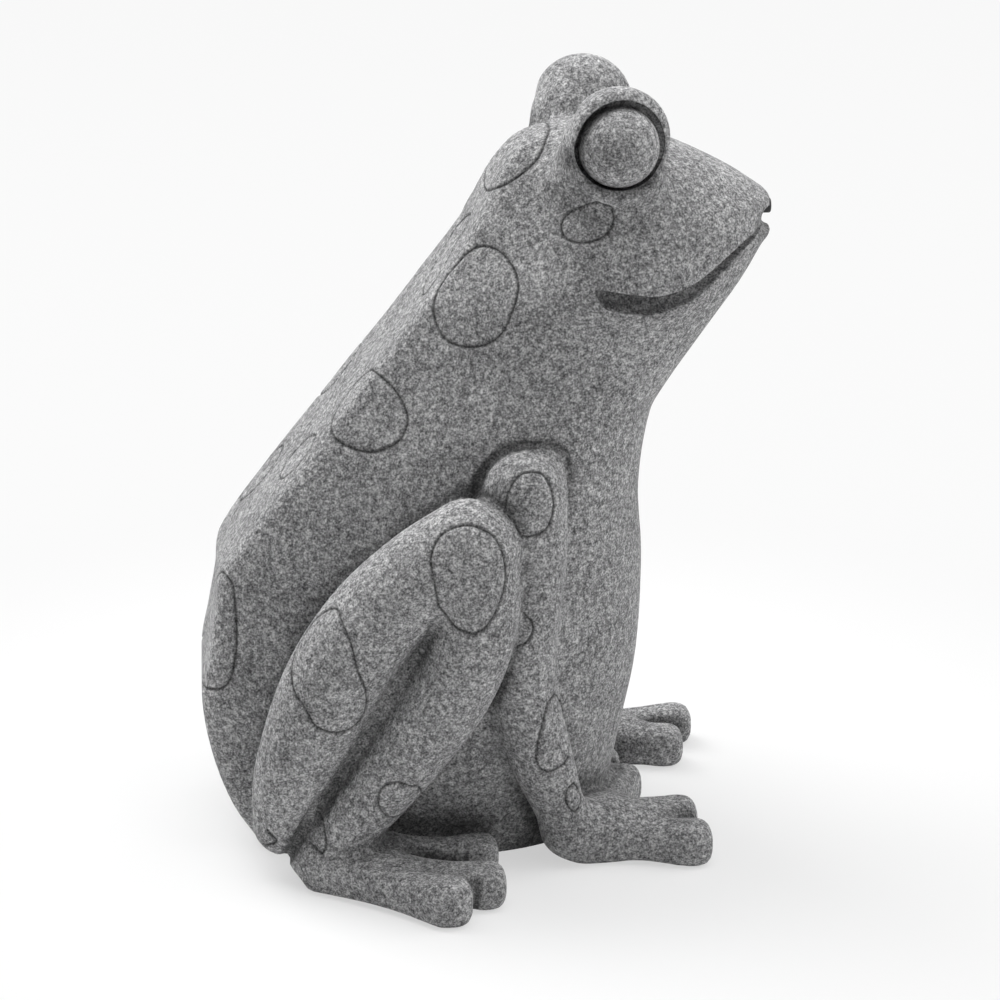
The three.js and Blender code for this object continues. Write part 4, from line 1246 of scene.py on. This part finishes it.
def rounded(profile: Rows, edge: float, closed: bool) -> Array:
    """Profile with eased corners: a corner P becomes (1-t)^2 A + 2t(1-t) P + t^2 B, A and B set back from P.

    Args:
        profile: rows of radius and height.
        edge: setback, at most 0.45 of a side.
        closed: the profile is a loop.

    Returns:
        Rows of radius and height, shape (k, 2).
    """
    p = np.array(profile, float)
    before, after = np.roll(p, 1, axis=0) - p, np.roll(p, -1, axis=0) - p
    if not closed:
        before[0], after[-1] = 0.0, 0.0
    spans = [np.maximum(np.linalg.norm(way, axis=1, keepdims=True), 1e-9) for way in (before, after)]
    a, b = (p + way * np.minimum(edge, 0.45 * span) / span for way, span in zip((before, after), spans))
    t = np.linspace(0.0, 1.0, 5)[None, :, None]
    curve = (1 - t) ** 2 * a[:, None] + 2 * t * (1 - t) * p[:, None] + t**2 * b[:, None]
    return curve.reshape(-1, 2)


def smooth(piece: Piece, degrees: float = 38.0) -> Piece:
    """Smooth shading with sharp edges above an angle."""
    piece.data.shade_smooth()
    piece.data.set_sharp_from_angle(angle=math.radians(degrees))
    return piece


def turned(
    name: str, profile: Rows, at: Point, axis: Axis, edge: float = 0.35, closed: bool = False
) -> Piece:
    """Turned piece: rings of (r cos v, r sin v) at each height of a profile, about an upright or long axis.

    Args:
        name: piece name.
        profile: rows of radius and height in millimetres.
        at: point on the axis from which heights count.
        axis: direction of the heights.
        edge: easing of the corners.
        closed: the profile is a loop, as on a ring or sleeve.

    Returns:
        The piece.
    """
    rows = rounded(profile, edge, closed)
    v = circle(96)
    r, h = np.maximum(rows[:, :1], 0.01), rows[:, 1:] + 0.0 * v
    parts = (h, r * np.cos(v), r * np.sin(v)) if axis is Axis.LENGTH else (r * np.cos(v), r * np.sin(v), h)
    return smooth(put_rings(name, np.array(at) + np.stack(parts, -1), closed))


def block(name: str, low: Point, high: Point, ease: float) -> Piece:
    """Bar with eased edges: outlines |x/a|^8 + |y/b|^8 = 1, drawn in towards both ends.

    Args:
        name: piece name.
        low: lowest corner.
        high: highest corner.
        ease: easing of the edges.

    Returns:
        The piece.
    """
    low, high = np.array(low, float), np.array(high, float)
    turn = np.linspace(0.0, np.pi / 2.0, 6)
    inset = ease * np.concatenate([1.0 - np.sin(turn), 1.0 - np.sin(turn[::-1])])[:, None]
    rise = ease * (1.0 - np.cos(turn))
    z = np.concatenate([low[2] + rise, high[2] - rise[::-1]])[:, None]
    v = circle(64)
    half, middle = (high - low) / 2.0, (high + low) / 2.0
    x = middle[0] + (half[0] - inset) * np.sign(np.cos(v)) * np.abs(np.cos(v)) ** 0.25
    y = middle[1] + (half[1] - inset) * np.sign(np.sin(v)) * np.abs(np.sin(v)) ** 0.25
    return smooth(put_rings(name, np.stack([x, y, z + 0.0 * v], -1)))


@dataclass
class Fitting:
    """Base of the small fittings."""

    body: str = "frog"

    def pieces(self) -> Made:
        """Pieces with the node each stands for and its finish."""
        return []

    def build(self, finishes: dict[str, Material]) -> None:
        """Make the pieces, dress them and let them ride on the body.

        Args:
            finishes: materials by slot name.
        """
        for piece, node, slot in self.pieces():
            dress(piece, finishes[slot.value])
            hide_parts(node)
            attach(piece, self.body)
            LOG.info("%s stands for %s", piece.name, node)


@dataclass
class CoverScrews(Fitting):
    """Six pan-head screws with a cross recess, under the base cover."""

    count: int = 6
    head: Rows = ((0, 17.3), (1.6, 17.32), (2.8, 17.5), (3.6, 17.95), (4, 18.7), (4, 19.7))
    shank: Rows = ((1.75, 19.7), (1.75, 33.4), (0, 35.2))
    recess: tuple[float, float, float] = (2.1, 0.42, 18.4)

    def pieces(self) -> Made:
        """One screw at each screw node."""
        made = []
        for i in range(1, self.count + 1):
            node = "cover_screw_%d" % i
            low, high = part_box(node)
            x, y = ((low[k] + high[k]) / (2.0 * MM) for k in (0, 1))
            screw = turned("pan_screw_%d" % i, self.head + self.shank, (x, y, 0.0), Axis.UP, 0.2)
            reach, half, top = self.recess
            for a, b in ((reach, half), (half, reach)):
                slot = block("slot", (x - a, y - b, 16.0), (x + a, y + b, top), 0.12)
                join_cut(screw, slot, Cut.TAKE_AWAY)
            made.append((smooth(screw), node, Slot.STEEL))
        return made


@dataclass
class FillerPlug(Fitting):
    """Flanged cup with a grip bar, and its flat seal."""

    body: str = "plug"
    at: Point = (8.0, 0.0, 0.0)
    cup: Rows = (
        (0, 14.9), (24, 14.9), (24, 17.9), (19.6, 17.9), (19.6, 27), (17.1, 27), (17.1, 17.9), (0, 17.9),
    )
    grip: tuple[Point, Point] = ((-8.0, -3.0, 5.9), (24.0, 3.0, 16.0))
    seal: Rows = ((19.9, 18.2), (24, 18.2), (24, 19.7), (19.9, 19.7))

    def pieces(self) -> Made:
        """The plug and its seal."""
        plug = turned("grip_plug", self.cup, self.at, Axis.UP, 0.7)
        join_cut(plug, block("grip", *self.grip, 1.2), Cut.ADD)
        seal = turned("flat_seal", self.seal, self.at, Axis.UP, 0.5, closed=True)
        return [(smooth(plug), "filler_plug", Slot.PLASTIC), (seal, "plug_seal", Slot.RUBBER)]


@dataclass
class InletFitting(Fitting):
    """Barbed elbow through the cover, with its washer and nut."""

    at: Point = (-44.0, 0.0, 0.0)
    low: float = 9.5
    stem: Rows = (
        (0, 9.5), (8, 9.5), (8, 15.1), (13, 15.1), (13, 17.9), (8, 17.9), (8, 33), (3.85, 33), (3.85, 39),
        (4.45, 39), (3.85, 44), (4.45, 44), (3.85, 51), (0, 51),
    )
    spigot: Rows = ((0, -24), (6, -24), (6, -14), (8, -14), (8, 0), (0, 0))
    elbow_radius: float = 8.02
    bore: float = 3.0
    washer: Rows = ((8.3, 18.2), (13, 18.2), (13, 19.7), (8.3, 19.7))
    nut_flat: float = 12.0
    nut_hole: float = 8.3
    nut_z: Pair = (24.3, 30.3)
    nut_ease: float = 0.9
    nut_chamfer: float = 0.35

    def knuckle(self, radius: float) -> Piece:
        """Ball at the turn of the elbow."""
        turn = np.linspace(-np.pi / 2.0, np.pi / 2.0, 33)
        rows = tuple(zip(radius * np.cos(turn), self.low + radius * np.sin(turn)))
        return turned("knuckle", rows, self.at, Axis.UP, 0.05)

    def nut(self) -> Piece:
        """Six-sided nut: flat distance over cos(angle to the flat), kept inside a circle at both ends."""
        v = circle(144)[0]
        side = self.nut_flat / np.cos((v % (np.pi / 3.0)) - np.pi / 6.0)
        eased = np.minimum(side, self.nut_flat + self.nut_chamfer)
        hole = np.full(len(v), self.nut_hole)
        low, high = self.nut_z
        ease = self.nut_ease
        rows = (
            (hole, low), (eased, low), (side, low + ease), (side, high - ease), (eased, high), (hole, high),
        )
        rings = [np.stack([r * np.cos(v), r * np.sin(v), np.full(len(v), z)], 1) + self.at for r, z in rows]
        return smooth(put_rings("six_sided_nut", np.stack(rings), True), 25.0)

    def pieces(self) -> Made:
        """The elbow, washer and nut."""
        elbow = turned("barbed_elbow", self.stem, self.at, Axis.UP)
        along = np.array(self.at) + (0.0, 0.0, self.low)
        join_cut(elbow, self.knuckle(self.elbow_radius), Cut.ADD)
        join_cut(elbow, turned("spigot", self.spigot, along, Axis.LENGTH), Cut.ADD)
        riser = ((0, self.low), (self.bore, self.low), (self.bore, 60), (0, 60))
        join_cut(elbow, turned("riser", riser, self.at, Axis.UP, 0.05), Cut.TAKE_AWAY)
        way = ((0, -40), (self.bore, -40), (self.bore, 0), (0, 0))
        join_cut(elbow, turned("way", way, along, Axis.LENGTH, 0.05), Cut.TAKE_AWAY)
        join_cut(elbow, self.knuckle(self.bore + 0.02), Cut.TAKE_AWAY)
        washer = turned("inlet_ring", self.washer, self.at, Axis.UP, 0.45, closed=True)
        return [
            (smooth(elbow), "inlet_elbow", Slot.PLASTIC),
            (washer, "inlet_washer", Slot.RUBBER),
            (self.nut(), "inlet_nut", Slot.PLASTIC),
        ]


@dataclass
class HoseAdapter(Fitting):
    """Barbed sleeve that pulls off the elbow."""

    body: str = "adapter"
    at: Point = (0.0, 0.0, 9.5)
    profile: Rows = (
        (4, -86.3), (6.1, -86.3), (7, -81.8), (6.1, -81.8), (7, -77.3), (6.1, -77.3), (7, -72.8),
        (6.1, -72.8), (6.1, -70.3), (8.5, -70.3), (8.5, -58.3), (6.3, -58.3), (6.3, -68.3), (4, -68.3),
    )

    def pieces(self) -> Made:
        """The sleeve."""
        sleeve = turned("barbed_sleeve", self.profile, self.at, Axis.LENGTH, closed=True)
        return [(sleeve, "hose_adapter", Slot.PLASTIC)]


@dataclass
class SupplyLine(Fitting):
    """Vinyl tube from the elbow to the spout, with a clip at each end."""

    low: Pair = (-44.0, 33.3)
    high: Pair = (105.65, 270.2)
    straight: float = 23.0
    bend: Pair = (0.425, 0.474)
    outer: float = 6.5
    inner: float = 4.75
    clip: Rows = ((6.8, -3.5), (8, -3.5), (8, 3.5), (6.8, 3.5))
    clip_from_end: float = 9.0
    ear: tuple[Point, Point] = ((-0.6, 7.6, -1.75), (0.6, 12.6, 1.75))
    ear_apart: float = 1.5

    def route(self) -> Array:
        """Centre line: straight ends and a cubic curve between them, shape (k, 2) of x and z."""
        (x0, z0), (x3, z3) = self.low, self.high
        start, end = np.array([x0, z0 + self.straight]), np.array([x3 - self.straight, z3])
        rise, run = self.bend
        p1 = start + (0.0, rise * (z3 - start[1]))
        p2 = end - (run * (end[0] - x0), 0.0)
        t = np.linspace(0.0, 1.0, 64)[:, None]
        curve = (1 - t) ** 3 * start + 3 * t * (1 - t) ** 2 * p1 + 3 * t**2 * (1 - t) * p2 + t**3 * end
        return np.concatenate([[(x0, z0)], curve, [(x3, z3)]])

    def tube(self) -> Piece:
        """Wall of the tube: outer rings along the route, then inner rings back."""
        way = self.route()
        ahead = unit(np.gradient(way, axis=0))
        v = circle(48)
        walls = []
        for r, rows in ((self.outer, slice(None)), (self.inner, slice(None, None, -1))):
            place, on = way[rows], ahead[rows]
            x = place[:, :1] - on[:, 1:] * r * np.sin(v)
            z = place[:, 1:] + on[:, :1] * r * np.sin(v)
            walls.append(np.stack([x, r * np.cos(v) + 0.0 * x, z], -1))
        return smooth(put_rings("vinyl_tube", np.concatenate(walls), True))

    def band(self, name: str, at: Point, axis: Axis) -> Piece:
        """Spring clip: a band with two ears."""
        clip = turned(name, self.clip, at, axis, 0.3, closed=True)
        low, high = np.array(self.ear)
        for apart in (self.ear_apart, -self.ear_apart):
            lift = np.array([apart, 0.0, 0.0])
            ends = (low + lift, high + lift)
            if axis is Axis.LENGTH:
                ends = tuple(np.array([e[2], e[1], e[0]]) for e in ends)
            join_cut(clip, block("ear", *(e + at for e in ends), 0.3), Cut.ADD)
        return smooth(clip)

    def pieces(self) -> Made:
        """The tube and its clips."""
        lower = np.array([self.low[0], 0.0, self.low[1] + self.clip_from_end])
        upper = np.array([self.high[0] - self.clip_from_end, 0.0, self.high[1]])
        return [
            (self.tube(), "supply_tube", Slot.VINYL),
            (self.band("lower_band", lower, Axis.UP), "lower_hose_clip", Slot.STEEL),
            (self.band("upper_band", upper, Axis.LENGTH), "upper_hose_clip", Slot.STEEL),
        ]


@dataclass
class Spout(Fitting):
    """Barbed nozzle with a fine jet, in a flanged grommet."""

    at: Point = (0.0, 0.0, 270.2)
    nozzle: Rows = (
        (3, 87.95), (3.85, 87.95), (4.45, 94.95), (3.85, 94.95), (4.45, 99.95), (3.85, 99.95), (3.85, 105.95),
        (7.1, 105.95), (7.1, 108.95), (4.5, 108.95), (4.5, 116.6), (3.2, 116.6), (3.2, 121.55), (2.7, 122.05),
        (1.8, 122.05), (1.8, 117.45), (3, 116.25),
    )
    grommet: Rows = ((4.8, 109.25), (7.5, 109.25), (7.5, 111.75), (5.9, 111.75), (5.9, 116.6), (4.8, 116.6))

    def pieces(self) -> Made:
        """The nozzle and its grommet."""
        nozzle = turned("jet_nozzle", self.nozzle, self.at, Axis.LENGTH, 0.3, closed=True)
        grommet = turned("flanged_grommet", self.grommet, self.at, Axis.LENGTH, 0.4, closed=True)
        return [(nozzle, "spout_nozzle", Slot.PLASTIC), (grommet, "nozzle_grommet", Slot.RUBBER)]


# Finishes


def value_socket(group: bpy.types.NodeTree, name: str, output: bool = False, value: float = 0.0) -> None:
    """Number socket on a node group.

    Args:
        group: the node group.
        name: socket name.
        output: put it on the output side.
        value: default of an input.
    """
    side = "OUTPUT" if output else "INPUT"
    made = group.interface.new_socket(name=name, in_out=side, socket_type="NodeSocketFloat")
    if not output:
        made.default_value = value


@dataclass
class NodeMaker:
    """Short calls for building a node tree."""

    tree: bpy.types.NodeTree

    def add(self, kind: str, **values: object) -> bpy.types.Node:
        """Add a node and set its properties."""
        node = self.tree.nodes.new(kind)
        for name, value in values.items():
            setattr(node, name, value)
        return node

    def link(self, a: Socket, b: Socket) -> None:
        """Join two sockets."""
        self.tree.links.new(a, b)

    def math(self, kind: str, a: object, b: object = 0.0, c: object = 0.0) -> Socket:
        """Math node on numbers or sockets.

        Args:
            kind: operation name.
            a: first number or socket.
            b: second number or socket.
            c: third number or socket.

        Returns:
            The result socket.
        """
        node = self.add("ShaderNodeMath", operation=kind)
        for place, value in zip(node.inputs, (a, b, c)):
            if isinstance(value, Socket):
                self.link(value, place)
            else:
                place.default_value = value
        return node.outputs[0]

    def noise(self, where: Socket, size_mm: float, detail: float, rough: float) -> Socket:
        """Noise with features of a given size in millimetres."""
        node = self.add("ShaderNodeTexNoise")
        node.inputs["Scale"].default_value = 1.0 / (size_mm * MM)
        node.inputs["Detail"].default_value = detail
        node.inputs["Roughness"].default_value = rough
        self.link(where, node.inputs["Vector"])
        return node.outputs["Fac"]

    def bump(self, height: Socket, strength: float, distance_mm: float, shader: bpy.types.Node) -> None:
        """Fine relief on a shader.

        Args:
            height: height from 0 to 1.
            strength: share of the effect.
            distance_mm: height in millimetres.
            shader: Principled shader that takes the normal.
        """
        node = self.add("ShaderNodeBump")
        node.inputs["Strength"].default_value = strength
        node.inputs["Distance"].default_value = distance_mm * MM
        self.link(height, node.inputs["Height"])
        self.link(node.outputs["Normal"], shader.inputs["Normal"])

    def seen(self) -> Socket:
        """One for rays that come straight from the camera, by a reflection or through clear vinyl."""
        path = self.add("ShaderNodeLightPath")
        first = self.math("MAXIMUM", path.outputs["Is Camera Ray"], path.outputs["Is Glossy Ray"])
        return self.math("MAXIMUM", first, path.outputs["Is Transmission Ray"])

    def ramp(self, value: Socket, stops: Rows) -> Socket:
        """Colour ramp over rows of position, red, green and blue."""
        node = self.add("ShaderNodeValToRGB")
        table = node.color_ramp.elements
        while len(table) < len(stops):
            table.new(0.5)
        for element, stop in zip(table, stops):
            element.position = stop[0]
            element.color = (*stop[1:], 1.0)
        self.link(value, node.inputs["Fac"])
        return node.outputs["Color"]


def surface_grain() -> bpy.types.NodeTree:
    """Group shared by the moulded finishes: fine grain and a slow cloud mask, on Object coordinates."""
    name = "surface_grain"
    if name in bpy.data.node_groups:
        return bpy.data.node_groups[name]
    group = bpy.data.node_groups.new(name, "ShaderNodeTree")
    value_socket(group, "Grain Scale", value=1500.0)
    value_socket(group, "Cloud Scale", value=60.0)
    value_socket(group, "Grain", output=True)
    value_socket(group, "Cloud", output=True)
    make = NodeMaker(group)
    given, put = make.add("NodeGroupInput"), make.add("NodeGroupOutput")
    where = make.add("ShaderNodeTexCoord").outputs["Object"]
    for scale, out, detail in (("Grain Scale", "Grain", 2.0), ("Cloud Scale", "Cloud", 3.0)):
        node = make.add("ShaderNodeTexNoise")
        node.inputs["Detail"].default_value = detail
        make.link(where, node.inputs["Vector"])
        make.link(given.outputs[scale], node.inputs["Scale"])
        make.link(node.outputs["Fac"], put.inputs[out])
    return group


@dataclass(frozen=True)
class Finish:
    """Base of the finishes: a named material with one Principled shader."""

    name: str

    def start(self) -> tuple[Material, NodeMaker, bpy.types.Node]:
        """New material, its node maker and its shader."""
        material = bpy.data.materials.new(self.name)
        material.use_nodes = True
        return material, NodeMaker(material.node_tree), material.node_tree.nodes["Principled BSDF"]


@dataclass(frozen=True)
class GraniteResin(Finish):
    """Cast resin with light and dark specks, matt, and darker where the skin holds dark wash and painted
    shade: in the engraved lines, the mouth, the creases and round the eyes.
    """

    speck_mm: float = 0.86
    fleck_mm: float = 0.75
    shade_mm: float = 26.0
    stops: Rows = (
        (0.34, 0.050, 0.050, 0.052), (0.44, 0.165, 0.165, 0.168), (0.505, 0.280, 0.280, 0.283),
        (0.57, 0.450, 0.450, 0.452), (0.66, 0.720, 0.720, 0.720),
    )
    wash_and_shade_dark: float = 0.16
    bump_mm: float = 0.28
    bump_share: float = 0.6
    speck_share: float = 0.65
    cloud_share: float = 0.10
    rough: Pair = (0.95, -0.25)
    shine: float = 0.35

    def make(self) -> Material:
        """Build the material."""
        material, make, shader = self.start()
        where = make.add("ShaderNodeTexCoord").outputs["Object"]
        speck = make.noise(where, self.speck_mm, 3.0, 0.62)
        fleck = make.noise(where, self.fleck_mm * 3.1, 2.0, 0.5)
        mixed = make.math("MULTIPLY", speck, self.speck_share)
        mixed = make.math("MULTIPLY_ADD", fleck, 1.0 - self.speck_share, mixed)
        cloud = make.noise(where, self.shade_mm, 2.0, 0.5)
        shifted = make.math("MULTIPLY_ADD", make.math("SUBTRACT", cloud, 0.5), self.cloud_share, mixed)
        colour = make.ramp(shifted, self.stops)
        # darkening read from the skin: dark wash and painted shade
        line = make.add("ShaderNodeAttribute", attribute_name="engraved")
        keep = make.math("SUBTRACT", 1.0, make.math("MULTIPLY", line.outputs["Fac"], 1.0 - self.wash_and_shade_dark))
        tint = make.add("ShaderNodeMix", data_type="RGBA", blend_type="MULTIPLY")
        tint.inputs["Factor"].default_value = 1.0
        make.link(colour, tint.inputs["A"])
        make.link(keep, tint.inputs["B"])
        make.link(tint.outputs["Result"], shader.inputs["Base Color"])
        plain, swing = self.rough
        make.link(make.math("MULTIPLY_ADD", speck, swing, plain), shader.inputs["Roughness"])
        make.bump(mixed, self.bump_share, self.bump_mm, shader)
        shader.inputs["Specular IOR Level"].default_value = self.shine
        return material


@dataclass(frozen=True)
class MouldedPlastic(Finish):
    """Black moulded plastic or rubber: fine grain, faint clouds in colour and gloss."""

    colour: tuple[float, float, float] = (0.018, 0.018, 0.019)
    rough: float = 0.42
    grain_scale: float = 1800.0
    cloud_scale: float = 55.0
    tones: Pair = (0.75, 1.5)
    swing: float = 0.2
    bump_mm: float = 0.05
    bump_share: float = 0.5

    def make(self) -> Material:
        """Build the material."""
        material, make, shader = self.start()
        grain = make.add("ShaderNodeGroup", node_tree=surface_grain())
        grain.inputs["Grain Scale"].default_value = self.grain_scale
        grain.inputs["Cloud Scale"].default_value = self.cloud_scale
        dark, light = (tuple(c * f for c in self.colour) for f in self.tones)
        colour = make.ramp(grain.outputs["Cloud"], ((0.35, *dark), (0.65, *light)))
        make.link(colour, shader.inputs["Base Color"])
        rough = make.math("MULTIPLY_ADD", grain.outputs["Cloud"], self.swing, self.rough)
        make.link(rough, shader.inputs["Roughness"])
        make.bump(grain.outputs["Grain"], self.bump_share, self.bump_mm, shader)
        return material


@dataclass(frozen=True)
class SatinSteel(Finish):
    """Stainless steel with fine brush lines along one direction."""

    colour: tuple[float, float, float] = (0.55, 0.56, 0.57)
    stretch: Point = (900.0, 900.0, 60.0)
    tones: Pair = (0.85, 1.1)
    rough: Pair = (0.22, 0.25)

    def make(self) -> Material:
        """Build the material."""
        material, make, shader = self.start()
        place = make.add("ShaderNodeMapping")
        place.inputs["Scale"].default_value = self.stretch
        make.link(make.add("ShaderNodeTexCoord").outputs["Object"], place.inputs["Vector"])
        lines = make.add("ShaderNodeTexNoise")
        lines.inputs["Scale"].default_value = 1.0
        lines.inputs["Detail"].default_value = 3.0
        make.link(place.outputs["Vector"], lines.inputs["Vector"])
        dark, light = (tuple(c * f for c in self.colour) for f in self.tones)
        make.link(make.ramp(lines.outputs["Fac"], ((0.3, *dark), (0.7, *light))), shader.inputs["Base Color"])
        plain, swing = self.rough
        make.link(make.math("MULTIPLY_ADD", lines.outputs["Fac"], swing, plain), shader.inputs["Roughness"])
        shader.inputs["Metallic"].default_value = 1.0
        return material


@dataclass(frozen=True)
class ClearVinyl(Finish):
    """Slightly milky clear hose."""

    grain_scale: float = 900.0
    cloud_scale: float = 35.0
    stops: Rows = ((0.3, 0.74, 0.79, 0.78), (0.7, 0.84, 0.87, 0.86))
    rough: Pair = (0.12, 0.12)
    clear: float = 0.75
    bending: float = 1.45

    def make(self) -> Material:
        """Build the material."""
        material, make, shader = self.start()
        grain = make.add("ShaderNodeGroup", node_tree=surface_grain())
        grain.inputs["Grain Scale"].default_value = self.grain_scale
        grain.inputs["Cloud Scale"].default_value = self.cloud_scale
        colour = make.ramp(grain.outputs["Cloud"], self.stops)
        make.link(colour, shader.inputs["Base Color"])
        plain, swing = self.rough
        make.link(make.math("MULTIPLY_ADD", grain.outputs["Grain"], swing, plain), shader.inputs["Roughness"])
        shader.inputs["Transmission Weight"].default_value = self.clear
        shader.inputs["IOR"].default_value = self.bending
        return material


def dress(piece: Piece, material: Material) -> None:
    """Give a piece one material."""
    piece.data.materials.clear()
    piece.data.materials.append(material)


# Floor, light and camera


@dataclass
class Studio:
    """Pale floor, white surround, soft light and the camera of the photograph."""

    look: Point = (8.0, 0.0, 142.5)
    azimuth: float = -5.0
    elevation: float = 19.0
    distance: float = 1400.0
    focal_px: float = 3256.0
    frame_px: float = 1000.0
    sensor_mm: float = 36.0
    white: float = 0.955
    fill: float = 0.06
    shade_span: Pair = (0.1, 0.42)
    plain_share: Pair = (0.58, 0.97)
    floor_radii: tuple[float, ...] = (300.0, 900.0, 2400.0, 6000.0)
    floor_z: float = -0.15
    floor_stops: Rows = ((0.3, 0.86, 0.86, 0.86), (0.7, 0.88, 0.88, 0.88))
    lamp_aim: Point = (0.0, 0.0, 0.14)
    lamps: tuple[tuple[str, Point, float, float], ...] = (
        ("rear_lamp", (-0.9, 0.7, 1.5), 1.2, 29.0),
        ("over_lamp", (0.0, 0.0, 1.9), 1.4, 20.5),
        ("right_lamp", (1.5, 0.1, 1.2), 1.2, 12.0),
        ("front_lamp", (1.3, -1.2, 1.0), 1.2, 5.5),
    )

    def camera(self) -> None:
        """Camera at the photograph's viewing angle: back vector (sin a cos e, -cos a cos e, sin e)."""
        a, e = math.radians(self.azimuth), math.radians(self.elevation)
        back = np.array([math.sin(a) * math.cos(e), -math.cos(a) * math.cos(e), math.sin(e)])
        data = bpy.data.cameras.new("camera")
        data.sensor_width = self.sensor_mm
        data.lens = self.sensor_mm * self.focal_px / self.frame_px
        data.clip_start, data.clip_end = 0.05, 50.0
        eye = bpy.data.objects.new("camera", data)
        eye.location = (np.array(self.look) + self.distance * back) * MM
        eye.rotation_euler = (math.pi / 2 - e, 0.0, a)
        bpy.context.scene.collection.objects.link(eye)
        bpy.context.scene.camera = eye

    def floor(self) -> None:
        """Floor disc: white to the camera, with the object's shadow."""
        v, r = circle(96), np.array(self.floor_radii)[:, None]
        rings = np.stack([r * np.cos(v), r * np.sin(v), np.full((r * v).shape, self.floor_z)], -1)
        points = np.concatenate([rings.reshape(-1, 3), [[0.0, 0.0, self.floor_z]]])
        count, around = rings.shape[:2]
        first = np.arange(around)
        middle = np.stack([first, (first + 1) % around, np.full(around, count * around)], 1)
        piece = put_mesh("floor", points, [tube_faces(count, around)[0][:, ::-1], middle])
        material = bpy.data.materials.new("studio_floor")
        material.use_nodes = True
        make = NodeMaker(material.node_tree)
        shader, out = material.node_tree.nodes["Principled BSDF"], material.node_tree.nodes["Material Output"]
        cloud = make.noise(make.add("ShaderNodeTexCoord").outputs["Object"], 400.0, 2.0, 0.5)
        tone = make.ramp(cloud, self.floor_stops)
        make.link(tone, shader.inputs["Base Color"])
        shader.inputs["Roughness"].default_value = 0.9
        glow = make.add("ShaderNodeEmission")
        glow.inputs["Color"].default_value = (self.white, self.white, self.white, 1.0)
        mix = make.add("ShaderNodeMixShader")
        away = make.add("ShaderNodeVectorMath", operation="LENGTH")
        make.link(make.add("ShaderNodeTexCoord").outputs["Object"], away.inputs[0])
        plain = make.add("ShaderNodeMapRange", interpolation_type="SMOOTHSTEP")
        make.link(away.outputs["Value"], plain.inputs["Value"])
        limits = zip(("From Min", "From Max", "To Min", "To Max"), self.shade_span + self.plain_share)
        for socket, value in limits:
            plain.inputs[socket].default_value = value
        make.link(make.math("MULTIPLY", make.seen(), plain.outputs["Result"]), mix.inputs["Fac"])
        make.link(shader.outputs["BSDF"], mix.inputs[1])
        make.link(glow.outputs["Emission"], mix.inputs[2])
        make.link(mix.outputs["Shader"], out.inputs["Surface"])
        dress(piece, material)

    def surround(self) -> None:
        """World: plain soft light, seen as white."""
        world = bpy.data.worlds.new("studio")
        bpy.context.scene.world = world
        world.use_nodes = True
        make = NodeMaker(world.node_tree)
        ground = world.node_tree.nodes["Background"]
        level = make.math("MULTIPLY_ADD", make.seen(), self.white - self.fill, self.fill)
        make.link(level, ground.inputs["Strength"])
        ground.inputs["Color"].default_value = (1.0, 1.0, 1.0, 1.0)

    def lamp(self, name: str, at: Point, size: float, power: float) -> None:
        """Soft square lamp that faces the middle of the frog.

        Args:
            name: lamp name.
            at: place in metres.
            size: side in metres.
            power: watts.
        """
        data = bpy.data.lights.new(name, "AREA")
        data.shape = "SQUARE"
        data.size = size
        data.energy = power
        lamp = bpy.data.objects.new(name, data)
        lamp.location = at
        away = np.array(at) - np.array(self.lamp_aim)
        flat = math.hypot(away[0], away[1])
        lamp.rotation_euler = (math.atan2(flat, away[2]), 0.0, math.atan2(away[1], away[0]) + math.pi / 2)
        bpy.context.scene.collection.objects.link(lamp)

    def build(self) -> None:
        """Set up the whole studio."""
        bpy.context.scene.view_settings.view_transform = "Standard"
        self.camera()
        self.floor()
        self.surround()
        for row in self.lamps:
            self.lamp(*row)


def main() -> None:
    """Load the frame, build each sub-assembly and report it."""
    logging.basicConfig(level=logging.INFO)
    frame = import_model()
    skin = FrogSkin().build()
    dress(skin, GraniteResin("granite_resin").make())
    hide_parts("body_shell")
    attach(skin, "frog")
    finishes = {
        Slot.PLASTIC.value: MouldedPlastic("black_plastic").make(),
        Slot.RUBBER.value: MouldedPlastic("black_rubber", (0.022, 0.022, 0.022), 0.72, 1200.0).make(),
        Slot.STEEL.value: SatinSteel("satin_steel").make(),
        Slot.VINYL.value: ClearVinyl("clear_vinyl").make(),
    }
    slots = {row["node"]: row["material_slot"] for row in frame["record"]["subparts"]}
    for fitting in (CoverScrews(), FillerPlug(), InletFitting(), HoseAdapter(), SupplyLine(), Spout()):
        fitting.build(finishes)
    for name, node in frame["nodes"].items():
        if slots[name] in finishes:
            dress(node, finishes[slots[name]])
            LOG.info("dressed %s", name)
    Studio().build()


if __name__ == "__main__":
    main()
